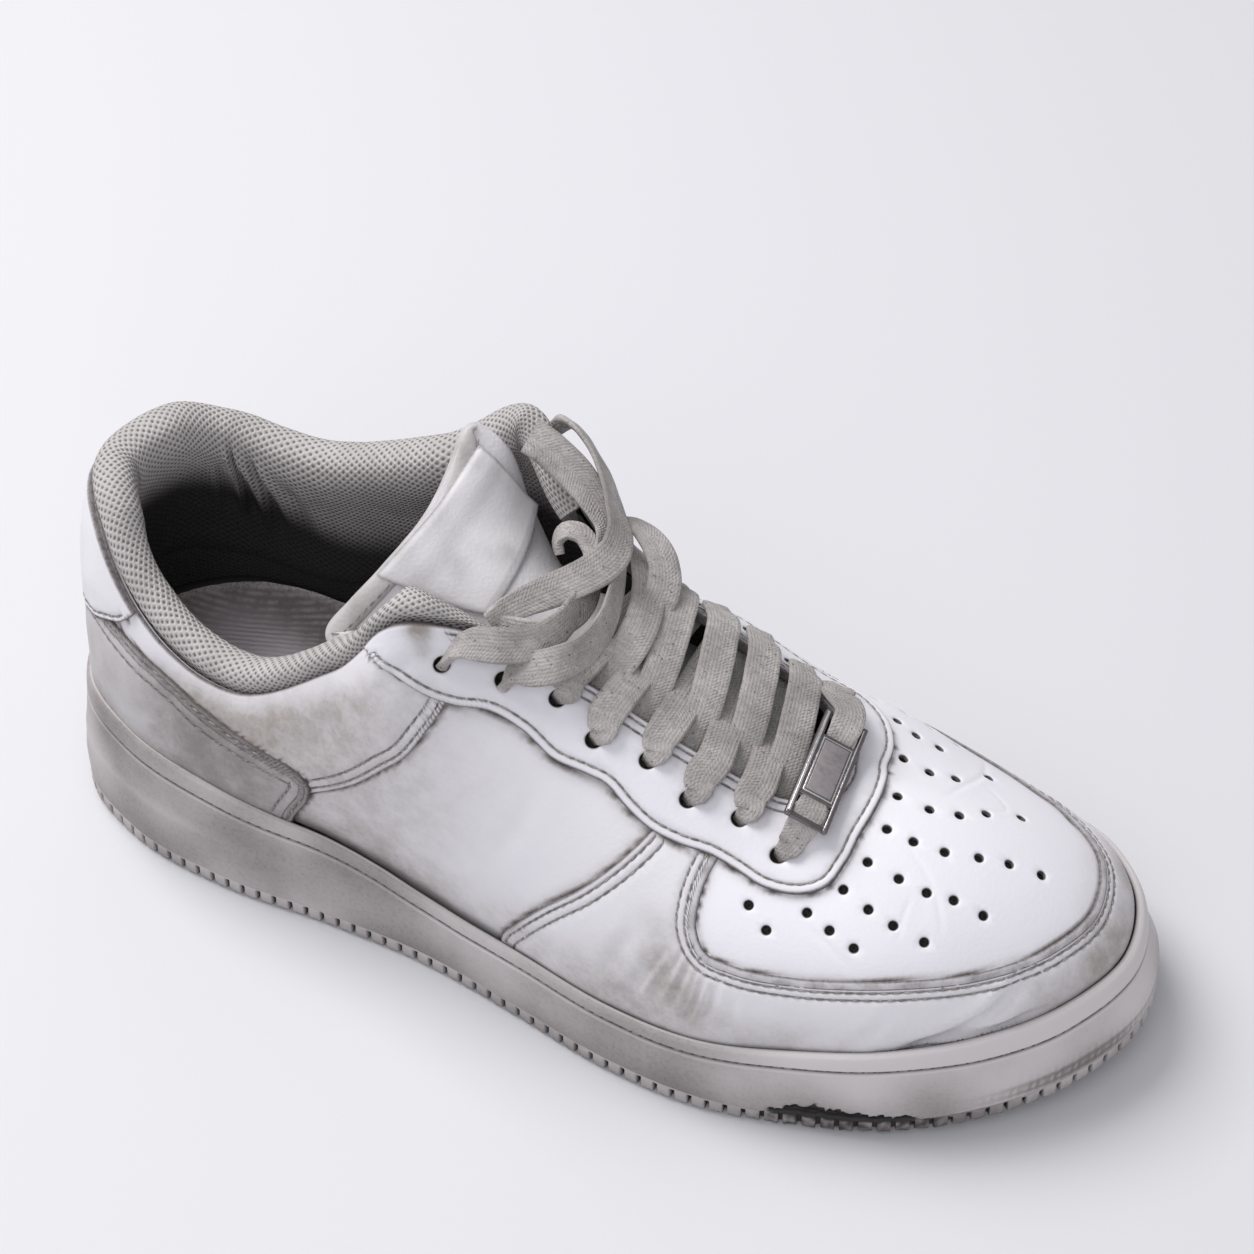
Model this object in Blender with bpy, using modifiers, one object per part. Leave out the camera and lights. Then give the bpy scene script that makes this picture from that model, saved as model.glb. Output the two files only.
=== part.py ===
"""Low-top leather court sneaker for a right foot, worn, standing empty on its sole.

Units are metres in Blender; the tables below are in millimetres and are scaled by MM.
In the tables X runs from the back of the heel to the toe, Y is negative on the
outer (lateral) side and Z is up from the ground. SHIFT moves the finished shoe so
that the origin lies under its middle.
"""
import math
from collections import namedtuple

import bmesh
import bpy
import numpy as np
from mathutils import Matrix, Vector

MM = 0.001
NAME = "worn_low_top_sneaker"
LENGTH = 303.7
SHIFT = np.array([-LENGTH / 2, 2.3, 0.0])

GAP = 0.3
WALL = 2.4
OUTSOLE_DEPTH = 5.0
RIM_LEDGE = 2.0
INSOLE_THICKNESS = 4.5
INSOLE_CURL = 6.0
EYELET_DIAMETER = 4.6
LACE_WIDTH = 8.0
LACE_THICKNESS = 1.6
CORD_DIAMETER = 3.6
COLUMN_PAIRS = 32
SHELL_ROWS = 11

# One station for each place round the sole edge. sole_*: the edge of the sole on the
# ground plan. edge_*: where the leather ends above it, at the collar or the throat.
# rise, lean: the wall starts up by rise and outwards by lean. run, pitch: it arrives
# along a straight of this length, sloping down and outwards by pitch degrees.
Station = namedtuple("Station", "sole_x sole_y edge_x edge_y edge_z rise lean run pitch")
STATIONS = [Station(*row) for row in (
    (0.5, -3.5, 8.5, -2.0, 100.5, 14, 0.5, 22, 74),
    (8.0, -27.0, 19.0, -19.0, 94.0, 14, 0.5, 20, 74),
    (30.0, -40.3, 36.0, -29.5, 77.5, 9, 1.0, 12, 68),
    (60.0, -45.5, 64.0, -35.0, 70.0, 8, 1.2, 11, 62),
    (92.0, -45.3, 94.0, -34.5, 91.0, 18, 2.5, 20, 66),
    (124.0, -47.2, 117.0, -30.5, 114.5, 28, 3.0, 34, 58),
    (138.0, -49.6, 131.0, -21.5, 107.5, 26, 2.5, 34, 42),
    (152.0, -52.5, 150.0, -16.5, 98.5, 24, 2.0, 34, 33),
    (180.0, -58.2, 178.0, -14.5, 85.0, 22, 1.0, 32, 26),
    (206.0, -59.4, 202.0, -13.0, 74.5, 22, 0.5, 32, 20),
    (230.0, -54.8, 211.0, -11.0, 71.5, 20, 0.5, 30, 14),
    (254.0, -47.8, 215.0, -8.0, 72.0, 18, 0.5, 34, 8),
    (276.0, -35.0, 217.0, -5.0, 72.0, 16, 0.5, 40, 5),
    (293.0, -18.0, 218.0, -2.5, 72.2, 15, 0.5, 44, 3),
    (303.0, 4.0, 218.3, 0.0, 72.3, 12, 0.5, 45, 2),
    (298.5, 27.0, 218.0, 2.5, 72.3, 11, 0.5, 42, 4),
    (284.0, 43.0, 217.0, 5.0, 72.3, 8, 1.0, 34, 8),
    (259.0, 51.8, 216.0, 9.0, 73.0, 9, 1.0, 31, 10),
    (228.0, 55.0, 212.0, 14.5, 75.0, 16, 1.0, 28, 13),
    (204.0, 52.5, 202.0, 18.0, 79.5, 21, 1.0, 38, 32),
    (180.0, 48.2, 178.0, 19.0, 90.5, 24, 1.5, 40, 32),
    (152.0, 42.8, 150.0, 21.5, 102.0, 26, 2.0, 35, 44),
    (138.0, 41.0, 135.0, 27.5, 112.0, 28, 2.5, 34, 50),
    (122.0, 39.5, 120.0, 40.0, 122.0, 30, 3.0, 30, 66),
    (92.0, 38.4, 93.0, 36.5, 107.0, 26, 2.0, 26, 70),
    (58.0, 39.2, 58.0, 36.0, 91.0, 16, 1.5, 18, 74),
    (28.0, 35.0, 31.0, 31.0, 96.5, 14, 1.0, 18, 74),
    (8.0, 20.0, 17.5, 18.5, 103.5, 14, 0.5, 20, 74),
)]

# Heights along the shoe: the walking face, the floor of the cup, and the rim of its side.
Height = namedtuple("Height", "x ground floor rim rim_inset")
HEIGHTS = [Height(*row) for row in (
    (0, 2.0, 28.5, 43.6, 4.2),
    (10, 0.0, 28.5, 43.2, 3.6),
    (40, 0.0, 28.5, 41.2, 2.2),
    (60, 0.0, 28.0, 38.6, 1.6),
    (78, 0.0, 26.5, 35.3, 1.6),
    (96, 0.0, 23.5, 33.0, 1.6),
    (108, 0.0, 21.5, 30.0, 1.6),
    (118, 0.0, 19.5, 26.8, 1.6),
    (130, 0.0, 17.5, 24.6, 1.6),
    (150, 0.0, 15.0, 24.0, 1.6),
    (175, 0.0, 13.5, 23.6, 1.6),
    (195, 0.0, 13.0, 24.0, 1.6),
    (215, 0.0, 13.5, 25.5, 1.8),
    (230, 0.3, 14.0, 27.2, 2.2),
    (245, 1.2, 15.0, 29.4, 2.6),
    (260, 2.6, 16.5, 31.5, 3.2),
    (275, 4.6, 18.5, 33.0, 3.8),
    (290, 7.0, 21.0, 34.2, 4.8),
    (304, 9.6, 24.0, 35.4, 5.8),
)]


# ---------------------------------------------------------------- curves and surfaces


def through(keys, values, at, period=None):
    """Cubic Hermite curve through the values, read at the given keys."""
    keys = np.asarray(keys, float)
    values = np.asarray(values, float).reshape(len(keys), -1)
    if period:
        keys = np.concatenate([keys[-2:] - period, keys, keys[:2] + period])
        values = np.vstack([values[-2:], values, values[:2]])
    at = np.clip(np.atleast_1d(np.asarray(at, float)), keys[0], keys[-1])
    step = np.diff(keys)[:, None]
    rate = np.diff(values, axis=0) / step
    slope = np.vstack([rate[:1], (rate[:-1] * step[1:] + rate[1:] * step[:-1]) / (step[1:] + step[:-1]), rate[-1:]])
    k = np.clip(np.searchsorted(keys, at, side="right") - 1, 0, len(keys) - 2)
    t = (at - keys[k])[:, None] / step[k]
    start, end = values[k], values[k + 1]
    first, last = slope[k] * step[k], slope[k + 1] * step[k]
    return (
        (2 * t**3 - 3 * t**2 + 1) * start
        + (t**3 - 2 * t**2 + t) * first
        + (3 * t**2 - 2 * t**3) * end
        + (t**3 - t**2) * last
    )


STATION_TABLE = np.array(STATIONS, float)
HEIGHT_TABLE = np.array(HEIGHTS, float)
STATION_KEYS = np.concatenate(
    [[0.0], np.cumsum(np.linalg.norm(np.diff(STATION_TABLE[:, :2], axis=0), axis=1))]
)
ROUND = STATION_KEYS[-1] + np.linalg.norm(STATION_TABLE[0, :2] - STATION_TABLE[-1, :2])


def height(x, name):
    """Height named in the table, at these x."""
    column = Height._fields.index(name)
    return through(HEIGHT_TABLE[:, 0], HEIGHT_TABLE[:, column], x)[:, 0]


def outline(u):
    """Edge of the sole on the plan at the distances u round it, and its outward normal."""
    points = through(STATION_KEYS, STATION_TABLE[:, :2], np.mod(u, ROUND), ROUND)
    ahead = through(STATION_KEYS, STATION_TABLE[:, :2], np.mod(np.asarray(u) + 0.5, ROUND), ROUND)
    behind = through(STATION_KEYS, STATION_TABLE[:, :2], np.mod(np.asarray(u) - 0.5, ROUND), ROUND)
    along = ahead - behind
    normal = np.column_stack([along[:, 1], -along[:, 0]])
    return points, normal / np.linalg.norm(normal, axis=1)[:, None]


def column_keys(pairs):
    """Distances u of points round the edge, in pairs that face each other across the shoe."""
    dense = np.linspace(0, ROUND, 4000, endpoint=False)
    x = outline(dense)[0][:, 0]
    heel, toe = np.argmin(x), np.argmax(x)
    turned = np.mod(np.arange(len(dense)) + heel, len(dense))
    split = int(np.mod(toe - heel, len(dense)))
    outer, inner = turned[: split + 1], turned[split:][::-1]
    stops = x[heel] + (x[toe] - x[heel]) * (1 - np.cos(np.pi * np.arange(1, pairs) / pairs)) / 2
    unrolled = lambda side: dense[side] + np.where(dense[side] < dense[heel] - 1e-9, ROUND, 0)
    lateral = np.interp(stops, x[outer], unrolled(outer))
    medial = np.interp(stops, x[inner], unrolled(inner))
    return np.concatenate([[dense[heel]], lateral, [unrolled(np.array([toe]))[0]], medial[::-1]])


COLUMNS = column_keys(COLUMN_PAIRS)


def ring(inset, z):
    """Loop of points round the shoe, inset from its edge, at heights z(x)."""
    points, normal = outline(COLUMNS)
    amount = inset(points[:, 0]) if callable(inset) else inset
    points = points - normal * np.reshape(amount, (-1, 1)) * np.ones((len(points), 1))
    return np.column_stack([points, z(points[:, 0])])


def wall_root(x):
    """Inset of the leather's outer face where it leaves the rim."""
    return height(x, "rim_inset") + RIM_LEDGE + GAP


def shell(u, v):
    """Outer face of the leather: v is 0 at the rim of the sole and 1 at the edge above it."""
    u, v = np.broadcast_arrays(np.asarray(u, float), np.asarray(v, float))
    u, v = u.ravel(), v.ravel()[:, None]
    plan, normal = outline(u)
    root = plan - normal * wall_root(plan[:, 0])[:, None]
    root = np.column_stack([root, height(root[:, 0], "rim")])
    row = through(STATION_KEYS, STATION_TABLE[:, 2:], np.mod(u, ROUND), ROUND)
    edge, (rise, lean, run, pitch) = row[:, :3], row[:, 3:].T
    away = root[:, :2] - edge[:, :2]
    reach = np.linalg.norm(away, axis=1)
    weight = np.clip((reach - 15) / 30, 0, 1)[:, None]
    outward = normal * (1 - weight) + away / np.maximum(reach, 1e-6)[:, None] * weight
    outward /= np.linalg.norm(outward, axis=1)[:, None]
    slope = np.radians(pitch)
    low = root + np.column_stack([normal * lean[:, None], rise])
    high = edge + run[:, None] * np.column_stack([outward * np.cos(slope)[:, None], -np.sin(slope)])
    return (1 - v) ** 3 * root + 3 * v * (1 - v) ** 2 * low + 3 * v**2 * (1 - v) * high + v**3 * edge


def shell_frame(u, v, step=0.4):
    """Point, outward normal and upward direction of the leather's outer face."""
    point = shell(u, v)
    across = shell(np.asarray(u) + step, v) - shell(np.asarray(u) - step, v)
    upward = shell(u, np.asarray(v) + 0.01) - shell(u, np.asarray(v) - 0.01)
    normal = np.cross(across, upward)
    return (
        point,
        normal / np.linalg.norm(normal, axis=1)[:, None],
        upward / np.linalg.norm(upward, axis=1)[:, None],
    )


# ---------------------------------------------------------------- meshes and materials


def material(name, colour, roughness, metallic=0.0):
    """Principled material of one colour."""
    made = bpy.data.materials.new(name)
    made.use_nodes = True
    shader = made.node_tree.nodes["Principled BSDF"]
    shader.inputs["Base Color"].default_value = (*colour, 1.0)
    shader.inputs["Roughness"].default_value = roughness
    shader.inputs["Metallic"].default_value = metallic
    made.diffuse_color = (*colour, 1.0)
    return made


def placed(point):
    """Table point, in millimetres, as a Blender point of the finished shoe."""
    return Vector((np.asarray(point, float) + SHIFT) * MM)


def add_mesh(name, points, faces, finish, collection):
    """Object from points in millimetres and faces, shaded smooth where it is round."""
    mesh = bpy.data.meshes.new(name)
    mesh.from_pydata([placed(point) for point in points], [], faces)
    mesh.validate()
    mesh.shade_smooth()
    mesh.set_sharp_from_angle(angle=math.radians(35))
    mesh.materials.append(finish)
    made = bpy.data.objects.new(name, mesh)
    collection.objects.link(made)
    return made


def loft_rings(name, rings, finish, collection):
    """Closed solid through loops round the shoe; the first and last are floored by strips."""
    count = len(rings[0])
    pairs = count // 2
    points = np.vstack(rings)
    faces = []
    for low in range(len(rings) - 1):
        for k in range(count):
            after = (k + 1) % count
            base, top = low * count, (low + 1) * count
            faces.append((base + k, base + after, top + after, top + k))
    last = (len(rings) - 1) * count
    for k in range(pairs):
        strip = [k, k + 1, (count - k - 1) % count, (count - k) % count]
        strip = list(dict.fromkeys(strip))
        faces.append(tuple(reversed(strip)))
        faces.append(tuple(last + index for index in strip))
    return add_mesh(name, points, faces, finish, collection)


def loft_sections(name, sections, finish, collection):
    """Closed solid through closed cross-sections of equal count, with flat ends."""
    count = len(sections[0])
    points = np.vstack(sections)
    faces = []
    for row in range(len(sections) - 1):
        for k in range(count):
            after = (k + 1) % count
            base, top = row * count, (row + 1) * count
            faces.append((base + k, base + after, top + after, top + k))
    last = (len(sections) - 1) * count
    faces.append(tuple(reversed(range(count))))
    faces.append(tuple(last + k for k in range(count)))
    return add_mesh(name, points, faces, finish, collection)


def cut(target, cutter):
    """Exact difference, left as a modifier."""
    modifier = target.modifiers.new(cutter.name, "BOOLEAN")
    modifier.operation = "DIFFERENCE"
    modifier.solver = "EXACT"
    modifier.object = cutter
    cutter.hide_render = True
    cutter.display_type = "WIRE"


# ---------------------------------------------------------------- sole

GROOVE_DEPTH = 1.6
GROOVE_WIDTH = 2.4
PIVOTS = ((38.0, -2.5, (12.0, 22.0)), (212.0, -2.0, (14.0, 26.0)))
FLEX_GROOVES = (108.0, 126.0, 144.0, 162.0, 262.0)


def build_outsole(finish, collection, cutters):
    """Walking layer: flat from heel to ball, sprung at the toe, with its main grooves."""
    ground = lambda x: np.maximum(height(x, "ground"), 0)
    body = loft_rings("outsole", [
        ring(1.0, ground),
        ring(0.2, lambda x: ground(x) + 0.8),
        ring(0.2, lambda x: ground(x) + OUTSOLE_DEPTH),
    ], finish, collection)
    for middle_x, middle_y, radii in PIVOTS:
        for radius in radii:
            bpy.ops.mesh.primitive_torus_add(
                major_segments=28, minor_segments=4,
                major_radius=radius * MM, minor_radius=GROOVE_WIDTH / 2 * MM,
                location=placed((middle_x, middle_y, GROOVE_DEPTH - GROOVE_WIDTH / 2)),
            )
            groove = bpy.context.object
            groove.name = f"pivot_groove_{middle_x:.0f}_{radius:.0f}"
            move_to(groove, cutters)
            cut(body, groove)
    for x in FLEX_GROOVES:
        bpy.ops.mesh.primitive_cube_add(size=1, location=placed((x, 0, 0)))
        groove = bpy.context.object
        groove.name = f"flex_groove_{x:.0f}"
        rise = float(ground(x)[0])
        groove.scale = (GROOVE_WIDTH * MM, 130 * MM, 2 * (GROOVE_DEPTH + rise) * MM)
        move_to(groove, cutters)
        cut(body, groove)
    return body


def move_to(made, collection):
    """Put an object in this collection only."""
    for old in list(made.users_collection):
        old.objects.unlink(made)
    collection.objects.link(made)


def build_midsole(finish, collection):
    """Cup that holds the upper: its side rises from the outsole to a thin rim."""
    rim_inset = lambda x: height(x, "rim_inset")
    rim = lambda x: height(x, "rim")
    floor = lambda x: height(x, "floor")
    seat = lambda x: np.maximum(height(x, "ground"), 0) + OUTSOLE_DEPTH + GAP
    return loft_rings("midsole", [
        ring(0.6, seat),
        ring(0.0, lambda x: seat(x) + 2.0),
        ring(lambda x: 0.45 * rim_inset(x), lambda x: seat(x) + 0.55 * (rim(x) - seat(x))),
        ring(rim_inset, lambda x: rim(x) - 0.5),
        ring(lambda x: rim_inset(x) + 0.6, rim),
        ring(lambda x: rim_inset(x) + RIM_LEDGE, lambda x: rim(x) - 0.3),
        ring(lambda x: rim_inset(x) + RIM_LEDGE + 0.6, floor),
    ], finish, collection)


def build_insole(finish, collection):
    """Footbed in the bottom of the upper, curled up round the heel."""
    edge = lambda x: wall_root(x) + WALL + 0.6 + GAP
    floor = lambda x: height(x, "floor") + GAP
    curl = lambda x: INSOLE_CURL * np.clip((110 - x) / 60, 0, 1)
    return loft_rings("insole", [
        ring(lambda x: edge(x) + 1.6, floor),
        ring(lambda x: edge(x) + 0.5, lambda x: floor(x) + INSOLE_THICKNESS + curl(x)),
        ring(lambda x: edge(x) + 2.4, lambda x: floor(x) + INSOLE_THICKNESS + curl(x)),
        ring(lambda x: edge(x) + 8.0, lambda x: floor(x) + INSOLE_THICKNESS),
    ], finish, collection)


# ---------------------------------------------------------------- upper

# Eyelets from the collar down. outer_x, inner_x: where they stand on either side of
# the throat. outer_down, inner_down: how far they are below its edge.
Eyelet = namedtuple("Eyelet", "outer_x outer_down inner_x inner_down")
EYELETS = [Eyelet(*row) for row in (
    (124.5, 9.5, 121.0, 9.5),
    (138.5, 8.5, 133.5, 8.5),
    (151.5, 7.0, 146.0, 8.5),
    (162.5, 11.5, 158.0, 10.5),
    (176.0, 8.5, 170.0, 8.5),
    (188.0, 11.8, 182.0, 10.5),
    (201.0, 9.5, 194.5, 8.0),
    (213.0, 15.0, 207.0, 11.5),
)]


def under_edge(x, below, side):
    """Place (u, v) on the leather at x, this far down from its throat edge."""
    first, last = (4, 14) if side < 0 else (14, 25)
    keys = np.linspace(STATION_KEYS[first], STATION_KEYS[last], 90)
    v = np.linspace(1.0, 0.3, 40)
    paths = shell(keys[:, None], v[None, :]).reshape(len(keys), len(v), 3)
    runs = np.cumsum(np.linalg.norm(np.diff(paths, axis=1), axis=2), axis=1)
    v_at = np.array([np.interp(below, np.concatenate([[0], run]), v) for run in runs])
    x_at = shell(keys, v_at)[:, 0]
    order = np.argsort(x_at)
    u = float(np.interp(x, x_at[order], keys[order]))
    return u, float(np.interp(u, keys, v_at))


def build_upper(finish, collection, cutters):
    """One hollow leather shell, open at the collar and throat and underneath."""
    count = len(COLUMNS)
    floor = ring(lambda x: wall_root(x) + 0.6, lambda x: height(x, "floor") + GAP)
    levels = np.linspace(0, 1, SHELL_ROWS)
    rows = [floor] + [shell(COLUMNS, np.full(count, level)) for level in levels]
    faces = []
    for row in range(len(rows) - 1):
        for k in range(count):
            after = (k + 1) % count
            base, top = row * count, (row + 1) * count
            faces.append((base + k, base + after, top + after, top + k))
    body = add_mesh("upper", np.vstack(rows), faces, finish, collection)
    wall = body.modifiers.new("wall", "SOLIDIFY")
    wall.thickness = WALL * MM
    wall.offset = -1
    wall.use_even_offset = False
    for side in (-1, 1):
        for number, eyelet in enumerate(EYELETS, 1):
            x, down = eyelet[:2] if side < 0 else eyelet[2:]
            u, v = under_edge(x, down, side)
            point, normal, _ = shell_frame(u, v)
            bpy.ops.mesh.primitive_cylinder_add(
                vertices=10, radius=EYELET_DIAMETER / 2 * MM, depth=9 * MM,
                location=placed(point[0] - normal[0] * WALL / 2),
                rotation=Vector(normal[0]).to_track_quat("Z", "Y").to_euler(),
            )
            hole = bpy.context.object
            hole.name = f"eyelet_{'outer' if side < 0 else 'inner'}_{number}"
            move_to(hole, cutters)
            cut(body, hole)
    return body


# The collar's padding in section: depth is how far below the leather's edge, negative
# above it, and inward how far inside the leather's outer face.
Pad = namedtuple("Pad", "depth inward")
COLLAR_PAD = [Pad(*row) for row in (
    (34, 3.3), (22, 3.6), (11, 3.8), (0, 3.9), (-1.6, 2.6), (-2.6, 0.4), (-4.8, 0.0),
    (-7.4, 1.6), (-8.6, 4.6), (-7.6, 8.2), (-3.5, 11.0), (4, 11.6), (14, 9.6), (25, 6.6), (34, 5.2),
)]
COLLAR_END_THICKNESS = 0.5
COLLAR_TAPER = 45.0


COLLAR_START = STATION_KEYS[22] - 2.0 - ROUND
COLLAR_END = STATION_KEYS[6] + 2.0


def pad_section(u):
    """Closed section of the collar's padding at the distance u round the shoe."""
    length = np.linalg.norm(np.diff(shell(np.full(30, u), np.linspace(0, 1, 30)), axis=0), axis=1).sum()
    stand = np.clip(0.3 + min(u - COLLAR_START, COLLAR_END - u) / 30, 0, 1)
    depth = np.array([pad.depth if pad.depth > -1 else -1 + (pad.depth + 1) * stand for pad in COLLAR_PAD])
    to_end = min(u - COLLAR_START, COLLAR_END - u) / COLLAR_TAPER
    full = COLLAR_END_THICKNESS + (1 - COLLAR_END_THICKNESS) * np.clip(to_end, 0, 1)
    inward = np.array([pad.inward if pad.inward < 4 else 3.9 + (pad.inward - 3.9) * full for pad in COLLAR_PAD])
    point, normal, upward = shell_frame(np.full(len(depth), u), 1 - np.clip(depth, 0, None) / length)
    return point + upward * np.clip(-depth, 0, None)[:, None] - normal * inward[:, None]


def build_collar(finish, collection):
    """Padded mesh roll and lining round the ankle, from throat to throat."""
    turned = np.where(COLUMNS > ROUND / 2, COLUMNS - ROUND, COLUMNS)
    inner = turned[(turned > COLLAR_START + 1) & (turned < COLLAR_END - 1)]
    keys = [COLLAR_END, *sorted(inner, reverse=True), COLLAR_START]
    sections = [pad_section(key) for key in keys]
    return loft_sections("collar_pad", sections, finish, collection)


# Cross-sections of the tongue, from its root under the throat to its free end. x, y, z:
# middle of the upper face. outer_*, inner_*: how far the edge on that side stands from
# the middle across the shoe, forwards and up.
Fold = namedtuple("Fold", "x y z outer_y outer_x outer_z inner_y inner_x inner_z thickness")
TONGUE = [Fold(*row) for row in (
    (206.0, 0.0, 68.5, 17, 0, -3, 17, 0, -2, 2.6),
    (190.0, 0.0, 74.5, 25, 0, -11, 25, 0, -9, 3.2),
    (170.0, 0.0, 83.0, 28, 0, -14, 28, 0, -12, 4.0),
    (150.0, 0.0, 92.0, 30, -1, -17, 30, 0, -14, 5.0),
    (134.0, 0.0, 100.5, 24, -3, -19, 25, 0, -14, 6.0),
    (120.0, 0.0, 109.5, 22, -6, -20, 27, 0, -8, 7.5),
    (111.0, 0.0, 115.5, 22, -12, -22, 28, -2, 3, 8.0),
    (105.5, 0.0, 119.5, 23, -21, -30, 29, -2, 9, 7.0),
)]
TONGUE_SECTION = 16


def tongue_section(fold):
    """Closed cross-section: a thick leaf that bends down to its two edges."""
    middle = np.array([fold.x, fold.y, fold.z])
    outer = np.array([fold.outer_x, -fold.outer_y, fold.outer_z])
    inner = np.array([fold.inner_x, fold.inner_y, fold.inner_z])
    half = TONGUE_SECTION // 2
    across = np.cos(np.pi * np.arange(TONGUE_SECTION) / half)
    depth = np.sin(np.pi * np.arange(TONGUE_SECTION) / half)
    points = []
    for s, d in zip(across, depth):
        edge = outer if s < 0 else inner
        point = middle + edge * np.array([s * s, abs(s), s * s])
        full = math.copysign(abs(d) ** 0.6, d)
        point = point + np.array([0.35, 0, 0.94]) * fold.thickness * (full - 1) / 2
        points.append(point)
    return np.array(points)


def build_tongue(finish, collection):
    """Padded tongue, twisted so that its outer corner has slipped down inside the collar."""
    return loft_sections("tongue", [tongue_section(fold) for fold in reversed(TONGUE)], finish, collection)


# ---------------------------------------------------------------- laces and keeper

# Strands that cross the throat. side, eyelet: the hole they come from. over_x: where
# they pass over the edge beside it. land_x: where they go under the opposite edge.
# slack: how far the middle of a slack strand is pushed to the toe.
Strand = namedtuple("Strand", "side eyelet over_x land_x slack")
STRANDS = [Strand(*row) for row in (
    (-1, 3, 152.5, 160.0, 0.0),
    (-1, 4, 164.0, 169.0, 0.0),
    (-1, 5, 177.0, 180.0, 0.0),
    (-1, 6, 190.0, 189.0, 0.0),
    (-1, 7, 201.5, 199.0, 0.0),
    (1, 3, 155.0, 164.0, 6.0),
    (1, 4, 166.0, 176.5, 0.0),
    (1, 5, 176.5, 187.0, 0.0),
    (1, 6, 189.0, 199.5, 0.0),
    (1, 7, 199.5, 206.5, 0.0),
)]
# Height of a strand over the line between the edges, from its own side to the other.
STRAND_RISE = ((0.0, 2.6), (0.32, 2.2), (0.68, 1.3), (1.0, -0.9))
KEEPER_LENGTH = 33.0
KEEPER_WIDTH = 12.0
KEEPER_THICKNESS = 1.6
KEEPER_CENTRE = (217.0, -4.8, 79.0)
KEEPER_TURN = 7.0
KEEPER_SLOPE = 24.0
KEEPER_LEAN = 7.0


def over_leather(x, down, side, lift):
    """Point this high above the leather at x, this far below its edge, and the way up there."""
    u, v = under_edge(x, down, side)
    point, normal, _ = shell_frame(u, v)
    return point[0] + normal[0] * lift, normal[0]


def strap(name, path, upward, finish, collection, count=9):
    """Flat lace along a smooth path, its broad face turned to the given directions."""
    path, upward = np.array(path), np.array(upward)
    keys = np.concatenate([[0], np.cumsum(np.linalg.norm(np.diff(path, axis=0), axis=1))])
    stops = np.linspace(0, keys[-1], count)
    points = through(keys, path, stops)
    along = through(keys, path, stops + 0.5) - through(keys, path, stops - 0.5)
    sections = []
    for point, way, up in zip(points, along, through(keys, upward, stops)):
        side = np.cross(way, up)
        side *= LACE_WIDTH / 2 / np.linalg.norm(side)
        up = np.cross(side, way)
        up *= LACE_THICKNESS / 2 / np.linalg.norm(up)
        sections.append([point + side - up, point - side - up, point - side + up, point + side + up])
    return loft_sections(name, np.array(sections), finish, collection)


def strand_path(strand):
    """Middle line of a strand across the throat, and the way its face is turned."""
    eyelet = EYELETS[strand.eyelet - 1]
    x, down = eyelet[:2] if strand.side < 0 else eyelet[2:]
    start, start_up = over_leather(x + 1.5, down - 1.0, strand.side, 1.9)
    edge, edge_up = over_leather(strand.over_x, 0.0, strand.side, 0.0)
    landing, _ = over_leather(strand.land_x, 0.0, -strand.side, 0.0)
    landing = landing + (edge - landing) * 0.1
    across = [edge + (landing - edge) * t + np.array([0.0, 0.0, rise]) for t, rise in STRAND_RISE]
    across[1][0] += strand.slack
    across[2][0] += strand.slack / 2
    throat_up = np.array([0.5, 0.0, 0.87])
    return [start, *across], [start_up, edge_up + throat_up, throat_up, throat_up, throat_up]


def build_crossings(finish, collection, cutters):
    """The strands across the throat, joined where they cross."""
    bands = []
    for number, strand in enumerate(STRANDS):
        place = cutters if number else collection
        bands.append(strap(f"strand_{number}", *strand_path(strand), finish, place))
    body = bands[0]
    body.name = "lace_crossings"
    for band in bands[1:]:
        join = body.modifiers.new(band.name, "BOOLEAN")
        join.operation = "UNION"
        join.solver = "EXACT"
        join.object = band
        band.hide_render = True
        band.display_type = "WIRE"
    return body


def build_lace_bar(finish, collection):
    """Lowest strand, straight across under the keeper."""
    path, upward = [], []
    for side, far_down in ((-1, (13.0, 5.0)), (1, (9.5, 4.0))):
        x = EYELETS[-1].outer_x if side < 0 else EYELETS[-1].inner_x
        spots = [over_leather(x + 2.0, down, side, 1.6) for down in far_down][::-side]
        path += [point for point, _ in spots]
        upward += [up for _, up in spots]
    return strap("lace_bar", path, upward, finish, collection)


def keeper_matrix():
    """Place of the keeper over the lowest strand."""
    turn = Matrix.Rotation(math.radians(KEEPER_TURN), 4, "Z")
    slope = Matrix.Rotation(math.radians(KEEPER_SLOPE), 4, "Y")
    lean = Matrix.Rotation(math.radians(KEEPER_LEAN), 4, "X")
    return Matrix.Translation(placed(KEEPER_CENTRE)) @ turn @ slope @ lean


def build_keeper(finish, collection, cutters):
    """Metal lace keeper: a plate framed by two rails, with a slot at each end."""
    bpy.ops.mesh.primitive_cube_add(size=1)
    plate = bpy.context.object
    plate.name = "lace_keeper"
    plate.dimensions = (KEEPER_WIDTH * MM, KEEPER_LENGTH * MM, KEEPER_THICKNESS * MM)
    bpy.ops.object.transform_apply(location=False, rotation=False, scale=True)
    plate.matrix_world = keeper_matrix()
    plate.data.materials.append(finish)
    move_to(plate, collection)
    for side in (-1, 1):
        bpy.ops.mesh.primitive_cube_add(size=1)
        slot = bpy.context.object
        slot.name = "keeper_slot_outer" if side < 0 else "keeper_slot_inner"
        slot.dimensions = (9.0 * MM, 5.2 * MM, 6 * MM)
        bpy.ops.object.transform_apply(location=False, rotation=False, scale=True)
        slot.matrix_world = keeper_matrix() @ Matrix.Translation((0, side * 12.2 * MM, 0))
        move_to(slot, cutters)
        cut(plate, slot)
    edge = plate.modifiers.new("edge", "BEVEL")
    edge.width = 0.3 * MM
    edge.segments = 1
    edge.limit_method = "ANGLE"
    return plate


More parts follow.
